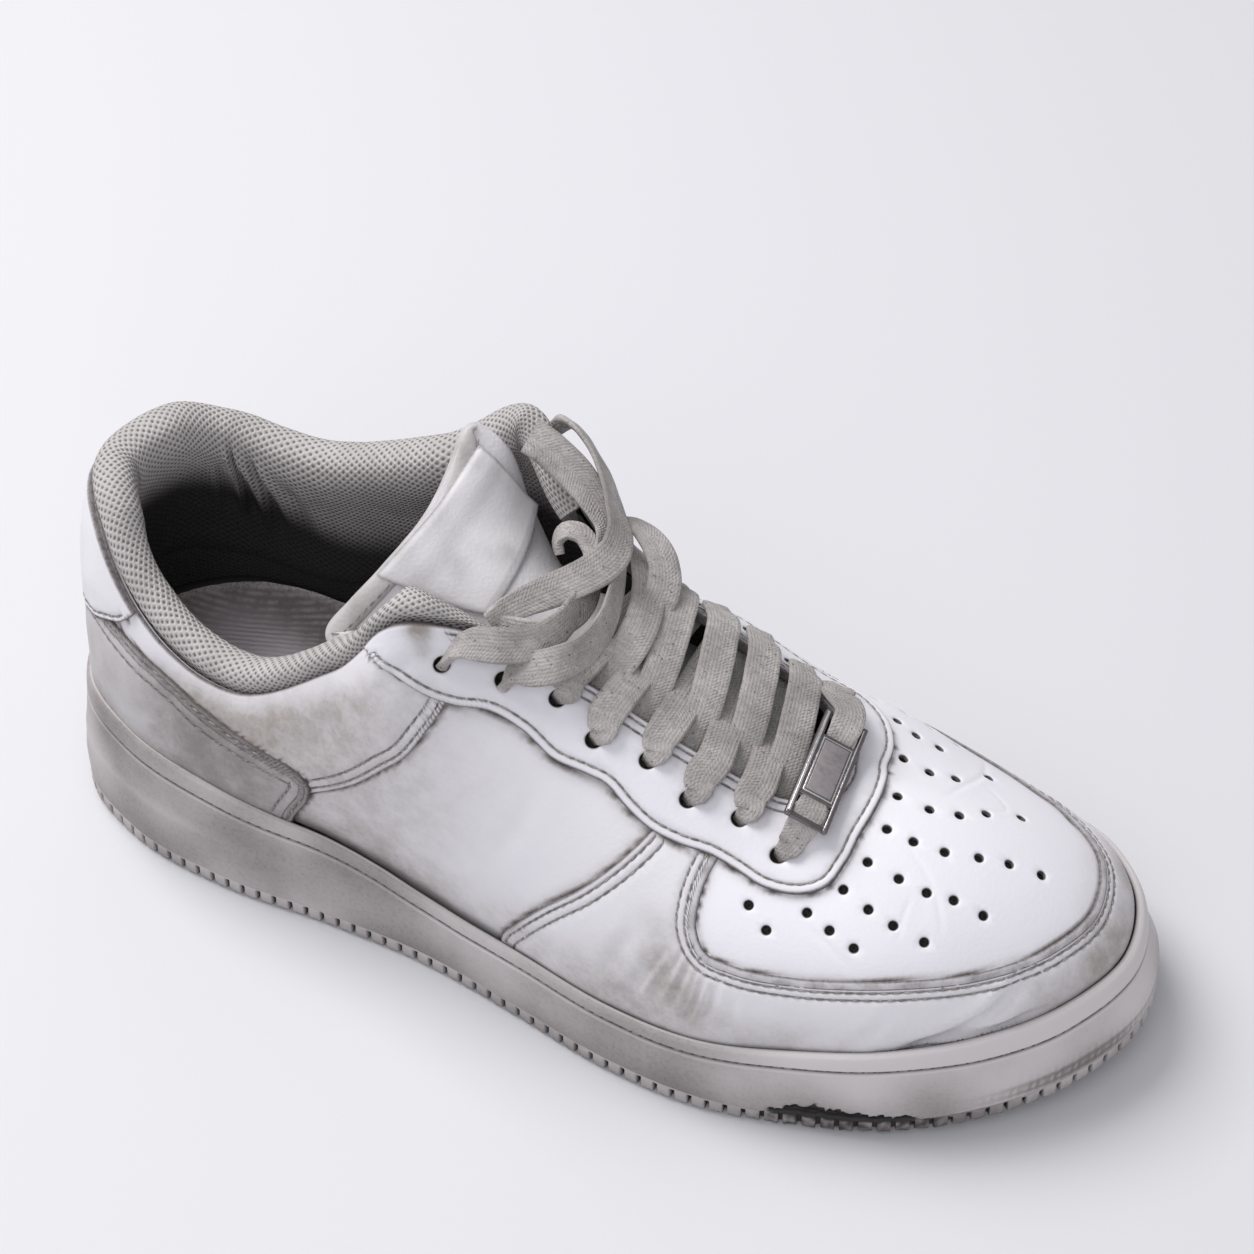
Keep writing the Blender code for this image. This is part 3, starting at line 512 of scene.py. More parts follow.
class Graph:
    """Node material that is written as sums."""

    def __init__(self, name: str, roughness: float, metallic: float = 0.0) -> None:
        """Start a material with its shader.

        Args:
            name: name of the material.
            roughness: roughness where nothing changes it.
            metallic: 1 for bare metal.
        """
        self.material = bpy.data.materials.new(name)
        self.material.use_nodes = True
        self.tree = self.material.node_tree
        self.shader = self.tree.nodes["Principled BSDF"]
        self.shader.inputs["Roughness"].default_value = roughness
        self.shader.inputs["Metallic"].default_value = metallic

    def node(self, kind: str, values: dict | None = None, **settings) -> bpy.types.Node:
        """Add a node.

        Args:
            kind: Blender's name for it.
            values: numbers, colours or sockets for its inputs, by name or number.
            **settings: its options.

        Returns:
            The node.
        """
        made = self.tree.nodes.new(kind)
        for key, value in settings.items():
            setattr(made, key, value)
        for key, value in (values or {}).items():
            self.feed(made.inputs[key], value)
        return made

    def feed(self, socket: Socket, value: object) -> None:
        """Link a socket to an input, or set the input to a number or colour."""
        if isinstance(value, bpy.types.NodeSocket):
            self.tree.links.new(value, socket)
        elif isinstance(value, tuple) and len(value) == 3 and socket.type == "RGBA":
            socket.default_value = (*value, 1.0)
        else:
            socket.default_value = value

    def sum(self, kind: str, first: object, second: object = 0.0, third: object = 0.0) -> Socket:
        """Result of a Math node of this kind."""
        return self.node(
            "ShaderNodeMath", {0: first, 1: second, 2: third}, operation=kind
        ).outputs[0]

    def times(self, value: object, factor: object) -> Socket:
        """Product of two."""
        return self.sum("MULTIPLY", value, factor)

    def scaled(self, value: object, factor: object, more: object) -> Socket:
        """Value times factor, plus more."""
        return self.sum("MULTIPLY_ADD", value, factor, more)

    def step(self, value: Socket, low: float, high: float, to: tuple = (0.0, 1.0)) -> Socket:
        """Smooth step of a value between low and high."""
        values = {"Value": value, "From Min": low, "From Max": high, "To Min": to[0], "To Max": to[1]}
        return self.node("ShaderNodeMapRange", values, interpolation_type="SMOOTHSTEP").outputs[0]

    def mix(self, amount: object, low: object, high: object) -> Socket:
        """Colour between two others."""
        made = self.node("ShaderNodeMix", data_type="RGBA")
        self.feed(made.inputs[0], amount)
        self.feed(made.inputs[6], low)
        self.feed(made.inputs[7], high)
        return made.outputs[2]

    def value(self, name: str) -> Socket:
        """Number kept on the mesh under this name."""
        return self.node("ShaderNodeAttribute", attribute_name=name).outputs["Fac"]

    def cloth(self) -> tuple[Socket, Socket]:
        """Millimetres along and across the cloth, kept on the mesh."""
        vector = self.node("ShaderNodeAttribute", attribute_name="cloth").outputs["Vector"]
        parts = self.node("ShaderNodeSeparateXYZ", {0: vector})
        return parts.outputs[0], parts.outputs[1]

    def place(self, stretch: Colour = (1.0, 1.0, 1.0)) -> Socket:
        """Object coordinates, in metres, stretched for a pattern."""
        spot = self.node("ShaderNodeTexCoord").outputs["Object"]
        return self.node("ShaderNodeMapping", {"Vector": spot, "Scale": stretch}).outputs[0]

    def noise(self, size: float, detail: float = 2.0, rough: float = 0.5, at: Socket | None = None) -> Socket:
        """Noise with features of this many millimetres, from 0 to 1."""
        values = {
            "Vector": at or self.place(),
            "Scale": 1000.0 / size,
            "Detail": detail,
            "Roughness": rough,
        }
        return self.node("ShaderNodeTexNoise", values).outputs["Fac"]

    def bump(self, height: Socket, depth: float, below: Socket | None = None) -> Socket:
        """Normal of a surface that this height raises by depth millimetres at most."""
        values = {"Height": height, "Distance": depth * MM, "Strength": 1.0}
        if below is not None:
            values["Normal"] = below
        return self.node("ShaderNodeBump", values).outputs[0]

    def done(
        self, colour: object, normal: Socket | None = None, roughness: Socket | None = None
    ) -> Material:
        """Link the shader's inputs and return the material."""
        self.feed(self.shader.inputs["Base Color"], colour)
        if normal is not None:
            self.feed(self.shader.inputs["Normal"], normal)
        if roughness is not None:
            self.feed(self.shader.inputs["Roughness"], roughness)
        return self.material


@dataclass(frozen=True)
class Leather:
    """Coated leather: clean colour, the colour of its dirt and painted shade, the near black of the shade
    painted at its edges, and how coarse its grain is.
    """

    name: str
    clean: Colour = (0.83, 0.81, 0.85)
    dirty_and_shaded: Colour = (0.36, 0.318, 0.292)
    edge: Colour = (0.085, 0.068, 0.065)
    grain: float = 0.05
    roughness: float = 0.42

    def material(self) -> Material:
        """Make the node material."""
        graph = Graph(self.name, self.roughness)
        dirt_wear_and_shade, edge = graph.value("dirt_wear_and_shade"), graph.value("edge")
        cloud = graph.step(graph.noise(24, 4, 0.6), 0.35, 0.75)
        mottle = graph.step(graph.noise(6.0, 5, 0.6), 0.25, 0.78)
        fleck = graph.step(graph.noise(1.3, 3, 0.65), 0.42, 0.72)
        uneven = graph.scaled(mottle, 0.34, graph.scaled(fleck, 0.14, 0.72))
        amount = graph.scaled(dirt_wear_and_shade, uneven, graph.times(cloud, 0.06))
        # Towards the dirty colour where the grime value is high: dirt, and painted shade in places.
        colour = graph.mix(graph.step(amount, 0.0, 1.0), self.clean, self.dirty_and_shaded)
        # The edge value paints shade in near black: along cut edges, round holes, in stitch channels and
        # under the edges of panels lying over this one; along raw edges it is dirt.
        rough_edge = graph.times(edge, graph.scaled(fleck, 0.18, 0.88))
        colour = graph.mix(graph.step(rough_edge, 0.0, 1.0), colour, self.edge)
        pores = graph.node(
            "ShaderNodeTexVoronoi", {"Vector": graph.place(), "Scale": 1100.0}, feature="SMOOTH_F1"
        ).outputs["Distance"]
        fine = graph.scaled(graph.noise(4.5, 4, 0.6), 0.8, pores)
        normal = graph.bump(fine, self.grain)
        shine = graph.step(graph.sum("ADD", dirt_wear_and_shade, edge), 0.0, 0.9, (self.roughness, 0.72))
        return graph.done(colour, normal, shine)


@dataclass(frozen=True)
class Rubber:
    """Moulded rubber with ground-in dirt, and painted shade in its grooves and gaps."""

    name: str
    clean: Colour = (0.70, 0.66, 0.66)
    dirty_and_shaded: Colour = (0.19, 0.165, 0.16)
    roughness: float = 0.55

    def material(self) -> Material:
        """Make the node material."""
        graph = Graph(self.name, self.roughness)
        dirt_wear_and_shade, edge = graph.value("dirt_wear_and_shade"), graph.value("edge")
        cloud = graph.step(graph.noise(18, 5, 0.62), 0.38, 0.78)
        fleck = graph.step(graph.noise(1.1, 3, 0.7), 0.45, 0.75)
        amount = graph.times(dirt_wear_and_shade, graph.scaled(fleck, 0.16, 0.9))
        amount = graph.scaled(cloud, 0.10, amount)
        colour = graph.mix(graph.step(amount, 0.0, 1.0), self.clean, self.dirty_and_shaded)
        # The edge value paints shade in near black: in grooves, notches and gaps, and along contact lines.
        colour = graph.mix(graph.step(edge, 0.0, 1.0), colour, (0.022, 0.018, 0.018))
        scuffs = graph.noise(2.2, 5, 0.7, graph.place((0.35, 0.35, 1.6)))
        return graph.done(colour, graph.bump(scuffs, 0.10))


@dataclass(frozen=True)
class Knit:
    """Two-layer mesh fabric: staggered small holes between raised loops."""

    name: str
    loop: Colour = (0.62, 0.59, 0.58)
    hole: Colour = (0.17, 0.15, 0.148)
    pitch: tuple[float, float] = (2.65, 2.05)
    hole_size: float = 0.40
    depth: float = 0.30

    def material(self) -> Material:
        """Make the node material."""
        graph = Graph(self.name, 0.86)
        along, across = graph.cloth()
        gaps = []
        for shift in (0.0, 0.5):
            parts = []
            for value, pitch in ((along, self.pitch[0]), (across, self.pitch[1])):
                cell = graph.sum("FRACT", graph.scaled(value, 1 / pitch, shift + 40))
                parts.append(graph.times(graph.sum("SUBTRACT", cell, 0.5), pitch))
            squares = [graph.times(part, part) for part in parts]
            gaps.append(graph.sum("SQRT", graph.sum("ADD", *squares)))
        gap = graph.sum("MINIMUM", *gaps)
        uneven = graph.scaled(graph.noise(1.3, 2, 0.6), 0.34, gap)
        open_part = graph.step(uneven, self.hole_size, self.hole_size + 0.36, (1.0, 0.0))
        fibre = graph.noise(0.5, 2, 0.6)
        tone = graph.step(graph.noise(14, 3, 0.6), 0.3, 0.75)
        # The grime value paints shade, mixing to near black: deep inside the shoe and near seams.
        wear_and_shade = graph.value("dirt_wear_and_shade")
        dim = tuple(part * 0.55 for part in self.loop)
        loop = graph.mix(graph.times(tone, 0.42), self.loop, dim)
        loop = graph.mix(graph.times(fibre, 0.35), loop, dim)
        colour = graph.mix(wear_and_shade, graph.mix(open_part, loop, self.hole), (0.012, 0.010, 0.010))
        height = graph.scaled(fibre, 0.25, graph.step(gap, 0.1, 1.0))
        return graph.done(colour, graph.bump(height, self.depth))


@dataclass(frozen=True)
class Webbing:
    """Flat woven cotton: a chevron rib, fuzzy, with dark specks."""

    name: str
    fibre: Colour = (0.64, 0.605, 0.59)
    shade: Colour = (0.34, 0.305, 0.295)
    pitch: float = 0.95
    weft_pitch: float = 0.95
    half_width: float = 4.7

    def material(self) -> Material:
        """Make the node material."""
        graph = Graph(self.name, 0.92)
        along, across = graph.cloth()
        aside = graph.sum("ABSOLUTE", across)
        phase = graph.scaled(aside, 0.75, along)
        wobble = graph.scaled(graph.noise(2.4, 3, 0.6), 1.5, phase)
        rib = graph.sum("SINE", graph.times(wobble, 2 * math.pi / self.pitch))
        worn_away = graph.step(graph.noise(3.2, 3, 0.6), 0.3, 0.75, (0.34, 0.06))
        rib = graph.scaled(rib, worn_away, 0.5)
        weft = graph.sum("SINE", graph.times(across, 2 * math.pi / self.weft_pitch))
        height = graph.scaled(weft, 0.2, rib)
        fuzz = graph.noise(0.55, 4, 0.75)
        height = graph.scaled(fuzz, 1.5, height)
        cloud = graph.step(graph.noise(9, 4, 0.65), 0.35, 0.75)
        speck = graph.step(graph.noise(1.0, 2, 0.6), 0.63, 0.72)
        streak = graph.step(graph.noise(1.5, 4, 0.7, graph.place((0.5, 1.0, 1.0))), 0.34, 0.68)
        light = graph.scaled(rib, 0.42, graph.times(streak, 0.55))
        colour = graph.mix(light, self.shade, self.fibre)
        # Painted shade: the lace darkens towards its edges.
        edge_shade = graph.step(aside, self.half_width - 1.1, self.half_width, (0.0, 0.55))
        colour = graph.mix(edge_shade, colour, (0.27, 0.245, 0.235))
        colour = graph.mix(graph.times(cloud, 0.46), colour, (0.31, 0.28, 0.265))
        colour = graph.mix(graph.times(fuzz, 0.34), colour, (0.66, 0.645, 0.63))
        colour = graph.mix(graph.times(speck, 0.75), colour, (0.10, 0.085, 0.08))
        colour = graph.mix(graph.value("dirt_wear_and_shade"), colour, (0.13, 0.115, 0.11))
        return graph.done(colour, graph.bump(height, 0.22))


@dataclass(frozen=True)
class Footbed:
    """Dark ribbed fabric over foam, worn through to a paler layer under the heel."""

    name: str

    def material(self) -> Material:
        """Make the node material."""
        graph = Graph(self.name, 0.9)
        along, across = graph.cloth()
        slant = graph.scaled(across, 0.95, graph.times(along, -0.31))
        wave = graph.scaled(graph.noise(5, 2, 0.5), 0.8, slant)
        rib = graph.sum("SINE", graph.times(wave, 2 * math.pi / 1.6))
        rib = graph.scaled(rib, 0.5, 0.5)
        broken = graph.step(graph.noise(3.0, 4, 0.7, graph.place((1.0, 0.25, 1.0))), 0.35, 0.65)
        line = graph.times(rib, broken)
        colour = graph.mix(line, (0.24, 0.212, 0.212), (0.46, 0.42, 0.42))
        colour = graph.mix(graph.value("dirt_wear_and_shade"), colour, (0.84, 0.78, 0.82))
        fray = graph.step(graph.noise(0.8, 3, 0.7), 0.3, 0.65)
        colour = graph.mix(graph.times(graph.value("edge"), fray), colour, (0.72, 0.67, 0.65))
        height = graph.scaled(graph.noise(0.6, 3, 0.7), 0.8, rib)
        return graph.done(colour, graph.bump(height, 0.25))


@dataclass(frozen=True)
class Thread:
    """Twisted sewing thread."""

    name: str
    colour: Colour = (0.40, 0.375, 0.365)

    def material(self) -> Material:
        """Make the node material."""
        graph = Graph(self.name, 0.8)
        dark = tuple(part * 0.4 for part in self.colour)
        tone = graph.step(graph.noise(3.0, 3, 0.7), 0.35, 0.7)
        return graph.done(graph.mix(tone, dark, self.colour), graph.bump(graph.noise(0.4), 0.08))


@dataclass(frozen=True)
class Steel:
    """Plated metal, worn bright on its high edges."""

    name: str
    colour: Colour = (0.30, 0.28, 0.28)
    roughness: float = 0.34

    def material(self) -> Material:
        """Make the node material."""
        graph = Graph(self.name, self.roughness, 1.0)
        scratch = graph.noise(1.2, 4, 0.7, graph.place((0.25, 1.0, 1.0)))
        dull = tuple(part * 0.7 for part in self.colour)
        colour = graph.mix(graph.step(scratch, 0.2, 0.55), dull, self.colour)
        rough = graph.step(graph.noise(4.0, 3, 0.6), 0.3, 0.8, (self.roughness, self.roughness + 0.2))
        return graph.done(colour, graph.bump(scratch, 0.04), rough)


# ---------------------------------------------------------------- meshes


def grid_faces(rows: int, columns: int, closed: bool) -> Array:
    """Quads between rows of points; closed joins the last column to the first."""
    k = np.arange(columns if closed else columns - 1)
    after = (k + 1) % columns
    base = np.arange(rows - 1)[:, None] * columns
    corners = [base + k, base + after, base + columns + after, base + columns + k]
    return np.stack(corners, axis=-1).reshape(-1, 4)


def tube_faces(rings: int, around: int) -> Array:
    """Quads of a closed ring of section, whose last row of points joins the first."""
    k = np.arange(around)
    after, top = (k + 1) % around, (rings - 1) * around
    last_row = np.column_stack([top + k, top + after, after, k])
    return np.vstack([grid_faces(rings, around, True), last_row])


def band_faces(rings: int, around: int, offset: int = 0) -> list:
    """Faces of one closed band whose points start at offset."""
    faces = (grid_faces(rings, around, True) + offset).tolist()
    faces.append([offset + k for k in reversed(range(around))])
    faces.append([offset + (rings - 1) * around + k for k in range(around)])
    return faces


def fold_strip(k: int, count: int) -> list[int]:
    """Points of the strip at step k between the two halves of a ring, to close it."""
    return list(dict.fromkeys([k, k + 1, (count - k - 1) % count, (count - k) % count]))


def thick(top: Array, bottom: Array, faces: Array) -> tuple[Array, Array]:
    """Closed shell between two faces of equal points.

    Args:
        top: points of the outer face.
        bottom: the same points on the inner face.
        faces: triangles or quads of the outer face.

    Returns:
        Points and faces, the inner face's points after the outer's.
    """
    count, sides = len(top), faces.shape[1]
    pairs = np.vstack([faces[:, [k, (k + 1) % sides]] for k in range(sides)])
    code = pairs[:, 0].astype(np.int64) * count + pairs[:, 1]
    back = pairs[:, 1].astype(np.int64) * count + pairs[:, 0]
    rim = pairs[~np.isin(code, back)]
    walls = np.column_stack([rim[:, 1], rim[:, 0], rim[:, 0] + count, rim[:, 1] + count])
    inner = faces[:, ::-1] + count
    return np.vstack([top, bottom]), [*faces.tolist(), *inner.tolist(), *walls.tolist()]


def add_piece(
    name: str,
    points: Array,
    faces: list | Array,
    finish: Material,
    replaces: tuple[str, ...] = (),
    values: dict[str, Array] | None = None,
    sharp: float = 50.0,
) -> Object:
    """Make a piece that rides on the shoe.

    Args:
        name: name of the piece.
        points: its points, in millimetres.
        faces: its faces.
        finish: its material.
        replaces: solids that it stands for.
        values: numbers or vectors to keep on its points, by name.
        sharp: angle above which an edge is left sharp, in degrees.

    Returns:
        The piece.
    """
    mesh = bpy.data.meshes.new(name)
    if isinstance(faces, Array):
        faces = faces.tolist()
    mesh.from_pydata(placed(points).tolist(), [], faces)
    mesh.validate()
    mesh.shade_smooth()
    mesh.set_sharp_from_angle(angle=math.radians(sharp))
    clean = {"dirt_wear_and_shade": np.zeros(len(points)), "edge": np.zeros(len(points))}
    for key, data in {**clean, **(values or {})}.items():
        data = np.asarray(data, np.float32)
        kind = "FLOAT_VECTOR" if data.ndim == 2 else "FLOAT"
        kept = mesh.attributes.new(key, kind, "POINT")
        kept.data.foreach_set("vector" if data.ndim == 2 else "value", data.ravel())
    mesh.materials.append(finish)
    piece = bpy.data.objects.new(name, mesh)
    bpy.context.scene.collection.objects.link(piece)
    return adopt(piece, replaces)


def adopt(piece: Object, replaces: tuple[str, ...] = ()) -> Object:
    """Tie a piece to the shoe and the solids that it stands for."""
    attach(piece, "root")
    if replaces:
        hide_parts(*replaces)
    log.info("%s: %d faces", piece.name, len(piece.data.polygons))
    return piece


def deselect() -> None:
    """Leave nothing selected."""
    for other in bpy.context.selected_objects:
        other.select_set(False)


def bead(segments: int = 6, rings: int = 5) -> tuple[Array, Array]:
    """Points and faces of one stitch's lozenge, of unit length, width and height."""
    deselect()
    bpy.ops.mesh.primitive_uv_sphere_add(segments=segments, ring_count=rings, radius=0.5)
    ball = bpy.context.object
    bpy.ops.object.mode_set(mode="EDIT")
    bpy.ops.mesh.select_all(action="SELECT")
    bpy.ops.transform.rotate(value=math.pi / 2, orient_axis="Y", center_override=(0, 0, 0))
    bpy.ops.mesh.quads_convert_to_tris()
    bpy.ops.object.mode_set(mode="OBJECT")
    points = np.array([vertex.co[:] for vertex in ball.data.vertices])
    faces = np.array([face.vertices[:] for face in ball.data.polygons])
    mesh = ball.data
    bpy.data.objects.remove(ball)
    bpy.data.meshes.remove(mesh)
    return points, faces


@dataclass
class Seams:
    """Every stitch on the shoe, one lozenge of thread each."""

    pitch: float = 2.9
    length: float = 2.35
    width: float = 0.62
    height: float = 0.55
    shape: tuple = field(init=False)
    points: list = field(init=False, default_factory=list)
    count: int = field(init=False, default=0)

    def __post_init__(self) -> None:
        """Model one stitch."""
        self.shape = bead()

    def sew(self, line: Array, normal: Array, sink: float = 0.0) -> None:
        """Lay stitches along a line.

        Args:
            line: points of the seam, in millimetres.
            normal: outward normal at each point.
            sink: how far the thread's middle is below the line.
        """
        keys = lengths(line)
        number = int(keys[-1] / self.pitch)
        if number < 1:
            return
        at = (np.arange(number) + 0.5) * keys[-1] / number
        spot = through(keys, line, at)
        along = unit(through(keys, line, at + 0.6) - through(keys, line, at - 0.6))
        up = unit(through(keys, normal, at))
        side = unit(np.cross(up, along))
        along = unit(along + side * 0.10)
        shape = self.shape[0] * (self.length, self.width, self.height)
        made = (
            spot[:, None]
            - up[:, None] * sink
            + shape[None, :, :1] * along[:, None]
            + shape[None, :, 1:2] * side[:, None]
            + shape[None, :, 2:] * up[:, None]
        )
        self.points.append(made.reshape(-1, 3))
        self.count += number

    def build(self) -> Object:
        """Make all the stitches one piece."""
        corners, faces = self.shape
        offset = np.arange(self.count)[:, None, None] * len(corners)
        faces = (faces[None] + offset).reshape(-1, 3)
        finish = Thread("sewing_thread").material()
        return add_piece("seam_stitches", np.vstack(self.points), faces, finish)


# ---------------------------------------------------------------- leather panels


@dataclass(frozen=True)
class Side:
    """One side of a panel: a smooth line of (u, v), and what is done along it.

    rows are how far in its seams are, bare how much of their ends is left unsewn, and raw
    the width of its band of dirty bare edge.
    """

    line: tuple[tuple[float, float], ...]
    rows: tuple[float, ...] = ()
    bare: tuple[float, float] = (0.0, 0.0)
    raw: float = 0.0


@dataclass(frozen=True)
class Hole:
    """Round hole in a panel."""

    u: float
    v: float
    radius: float


@dataclass
class Panel:
    """Flat-cut piece of leather on the last, with rounded edges, seams and holes.

    level is how far its face is above the last, and depth how thick it is.
    """

    name: str
    last: Last
    wear: Wear
    sides: tuple[Side, ...]
    level: float = 0.0
    depth: float = 1.2
    holes: tuple[Hole, ...] = ()
    over: tuple[Array, ...] = ()
    spacing: float = 2.0
    edge_round: float = 0.75
    # How dark the cut edge is painted, as shade.
    cut_edge: float = 0.85
    puff: float = 0.0
    turn: float = field(init=False, default=1.0)

    def side_line(self, side: Side) -> Array:
        """Dense (u, v) along a side."""
        line = np.array(side.line, float)
        keys = lengths(self.last.shell(line[:, 0], line[:, 1]))
        count = max(3, round(keys[-1] / 1.2) + 1)
        return through(keys, line, np.linspace(0, keys[-1], count))

    def inset(self, line: Array, amount: float, closed: bool = False) -> Array:
        """Line moved into the panel by this many millimetres."""
        point = self.last.shell(line[:, 0], line[:, 1])
        if closed:
            along = np.roll(point, -1, 0) - np.roll(point, 1, 0)
        else:
            along = np.gradient(point, axis=0)
        normal = self.last.frame(line[:, 0], line[:, 1])[1]
        inward = unit(np.cross(normal, along)) * self.turn
        u, v = line.T
        steps = max(1, math.ceil(abs(amount) / 0.7))
        for _ in range(steps):
            u, v = self.last.moved(u, v, inward * amount / steps)
        return np.column_stack([u, v])

    def circle(self, hole: Hole, radius: float) -> Array:
        """Closed ring of (u, v) round a hole."""
        count = 16 if hole.radius < 1.5 else 24
        angle = np.linspace(0, 2 * math.pi, count, endpoint=False)
        centre = np.full(count, hole.u), np.full(count, hole.v)
        _, normal, across, _ = self.last.frame(*centre)
        across = unit(across)
        upward = np.cross(normal, across)
        step = np.cos(angle)[:, None] * across + np.sin(angle)[:, None] * upward
        return np.column_stack(self.last.moved(*centre, step * radius))

    def outline(self) -> Array:
        """Closed loop of (u, v) round the panel, counter-clockwise."""
        parts = [self.side_line(side)[:-1] for side in self.sides]
        loop = np.vstack(parts)
        flat = self.last.flat(*loop.T)
        ahead = np.roll(flat, -1, 0)
        area = (flat[:, 0] * ahead[:, 1] - ahead[:, 0] * flat[:, 1]).sum()
        self.turn = 1.0 if area > 0 else -1.0
        return loop

    def scattered(self, loop: Array) -> Array:
        """Even points (u, v) over the range of the loop."""
        low, high = loop.min(0), loop.max(0)
        found = []
        for row, v in enumerate(np.arange(low[1], high[1] + 0.02, self.spacing / PANEL_SPAN)):
            u = np.linspace(low[0], high[0], 900)
            keys = lengths(self.last.shell(u, np.full(900, v)))
            count = max(2, int(keys[-1] / self.spacing))
            at = (np.arange(count) + 0.5 * (row % 2)) * self.spacing
            found.append(np.column_stack([np.interp(at, keys, u), np.full(count, v)]))
        return np.vstack(found)

    def build(self, finish: Material, seams: Seams) -> Object:
        """Cut the panel out, lay it on the last and sew it.

        Args:
            finish: its leather.
            seams: where its stitches go.

        Returns:
            The panel.
        """
        last = self.last
        loop = self.outline()
        loops = [loop] + [self.circle(hole, hole.radius) for hole in self.holes]
        closed = [last.shell(*ring.T)[list(range(len(ring))) + [0]] for ring in loops]
        loose = [self.inset(loop, amount, True) for amount in (0.16, 0.4, 0.75, 1.3)]
        for hole in self.holes:
            loose += [self.circle(hole, hole.radius + more) for more in (0.12, 0.32, 0.7)]
        rows = []
        for side in self.sides:
            line = self.side_line(side)
            for row in side.rows:
                path = self.inset(line, row)
                keys = lengths(last.shell(*path.T))
                keep = (keys >= side.bare[0]) & (keys <= keys[-1] - side.bare[1])
                rows.append(path[keep])
                loose += [self.inset(line, row + more)[keep] for more in (-0.5, -0.25, 0.0, 0.25, 0.5)]
            if side.raw:
                loose += [self.inset(line, side.raw + more) for more in (-0.25, 0.0, 0.25)]
        for crease, at in zip(self.wear.creases, self.wear.paths):
            loose += [self.inset(at, crease.width * more) for more in (-2.2, -1.2, -0.5, 0.0, 0.5, 1.2, 2.2)]
        row_lines = [last.shell(*row.T) for row in rows if len(row) > 2]
        inner = np.vstack(loose)
        spread = self.scattered(loop)
        flat_loop = last.flat(*loop.T)
        spread = spread[inside(last.flat(*spread.T), flat_loop)]
        spread_points = last.shell(*spread.T)
        clear = nearest(spread_points, closed[:1]) > 1.7
        if row_lines:
            clear &= nearest(spread_points, row_lines) > 0.8
        if self.holes:
            clear &= nearest(spread_points, closed[1:]) > 1.0
        spread = spread[clear]
        flat_inner = last.flat(*inner.T)
        clear = inside(flat_inner, flat_loop) & (nearest(last.shell(*inner.T), closed) > 0.1)
        uv, faces = triangulated(last, loops, np.vstack([inner[clear], spread]))
        point, normal, _, _ = last.frame(*uv.T)
        away = nearest(point, closed[:1])
        toward = 1 - np.clip(away / self.edge_round, 0, 1)
        drop = self.edge_round * (1 - np.sqrt(np.clip(1 - toward**2, 0, 1)))
        # Painted shade: dark along the cut edge.
        edge = self.cut_edge * bell(away, 0.55)
        # Painted shade in and round each hole.
        if self.holes:
            to_hole = nearest(point, closed[1:])
            drop = np.maximum(drop, 0.4 * (1 - soft(0, 0.6, to_hole)))
            edge = np.maximum(edge, 0.95 * bell(to_hole, 0.22))
        dirt_wear_and_shade = self.wear.dirt_wear_and_shade(point, uv[:, 1])
        # Stitch channels: painted shade in the groove, and a little darker beside it.
        if row_lines:
            to_row = nearest(point, row_lines)
            drop = drop + 0.34 * bell(to_row, 0.42) - 0.10 * bell(to_row - 1.1, 0.5)
            edge = np.maximum(edge, 0.78 * bell(to_row, 0.36))
            dirt_wear_and_shade = np.maximum(dirt_wear_and_shade, 0.22 * bell(to_row, 1.2))
        for side in self.sides:
            if side.raw:
                to_side = nearest(point, [last.shell(*self.side_line(side).T)])
                band = 1 - soft(side.raw - 0.3, side.raw + 0.1, to_side)
                band = band * (0.46 + 0.22 * ripple(point, 4, 6.6))
                # Painted shade in the groove at the raw band's inner side; the band itself is dirt.
                line = 0.9 * bell(to_side - side.raw, 0.22)
                edge = np.maximum(edge, np.maximum(band, line))
                drop = drop + 0.25 * bell(to_side - side.raw, 0.3)
        # Dirt and painted shade under the edges of panels lying over this one, with a dark line of painted
        # shade at the edge.
        if self.over:
            to_seam = nearest(point, list(self.over))
            dirt_wear_and_shade = np.maximum(dirt_wear_and_shade, 0.62 * np.exp(-to_seam / 1.3))
            edge = np.maximum(edge, bell(to_seam, 0.5))
        raised = self.level - drop + self.puff * soft(0, 9, away) + self.wear.relief(point)
        top = point + normal * raised[:, None]
        bottom = point + normal * (self.wear.relief(point) + self.level - self.depth)[:, None]
        points, faces = thick(top, bottom, faces)
        values = {
            "dirt_wear_and_shade": np.concatenate([dirt_wear_and_shade, dirt_wear_and_shade]),
            "edge": np.concatenate([edge, np.full(len(edge), self.cut_edge)]),
        }
        made = add_piece(self.name, points, faces, finish, (), values, sharp=60)
        for row in rows:
            if len(row) > 2:
                spot, way, _, _ = last.frame(*row.T)
                raised = self.level - 0.18 + self.puff * soft(0, 9, nearest(spot, closed[:1]))
                seams.sew(spot + way * (raised + self.wear.relief(spot))[:, None], way)
        return made


def inside(points: Array, loop: Array) -> Array:
    """Whether each flat point is inside a closed loop."""
    x, y = points.T
    result = np.zeros(len(points), bool)
    ahead = np.roll(loop, -1, 0)
    for (ax, ay), (bx, by) in zip(loop, ahead):
        if ay == by:
            continue
        crosses = (ay > y) != (by > y)
        result ^= crosses & (x < (bx - ax) * (y - ay) / (by - ay) + ax)
    return result


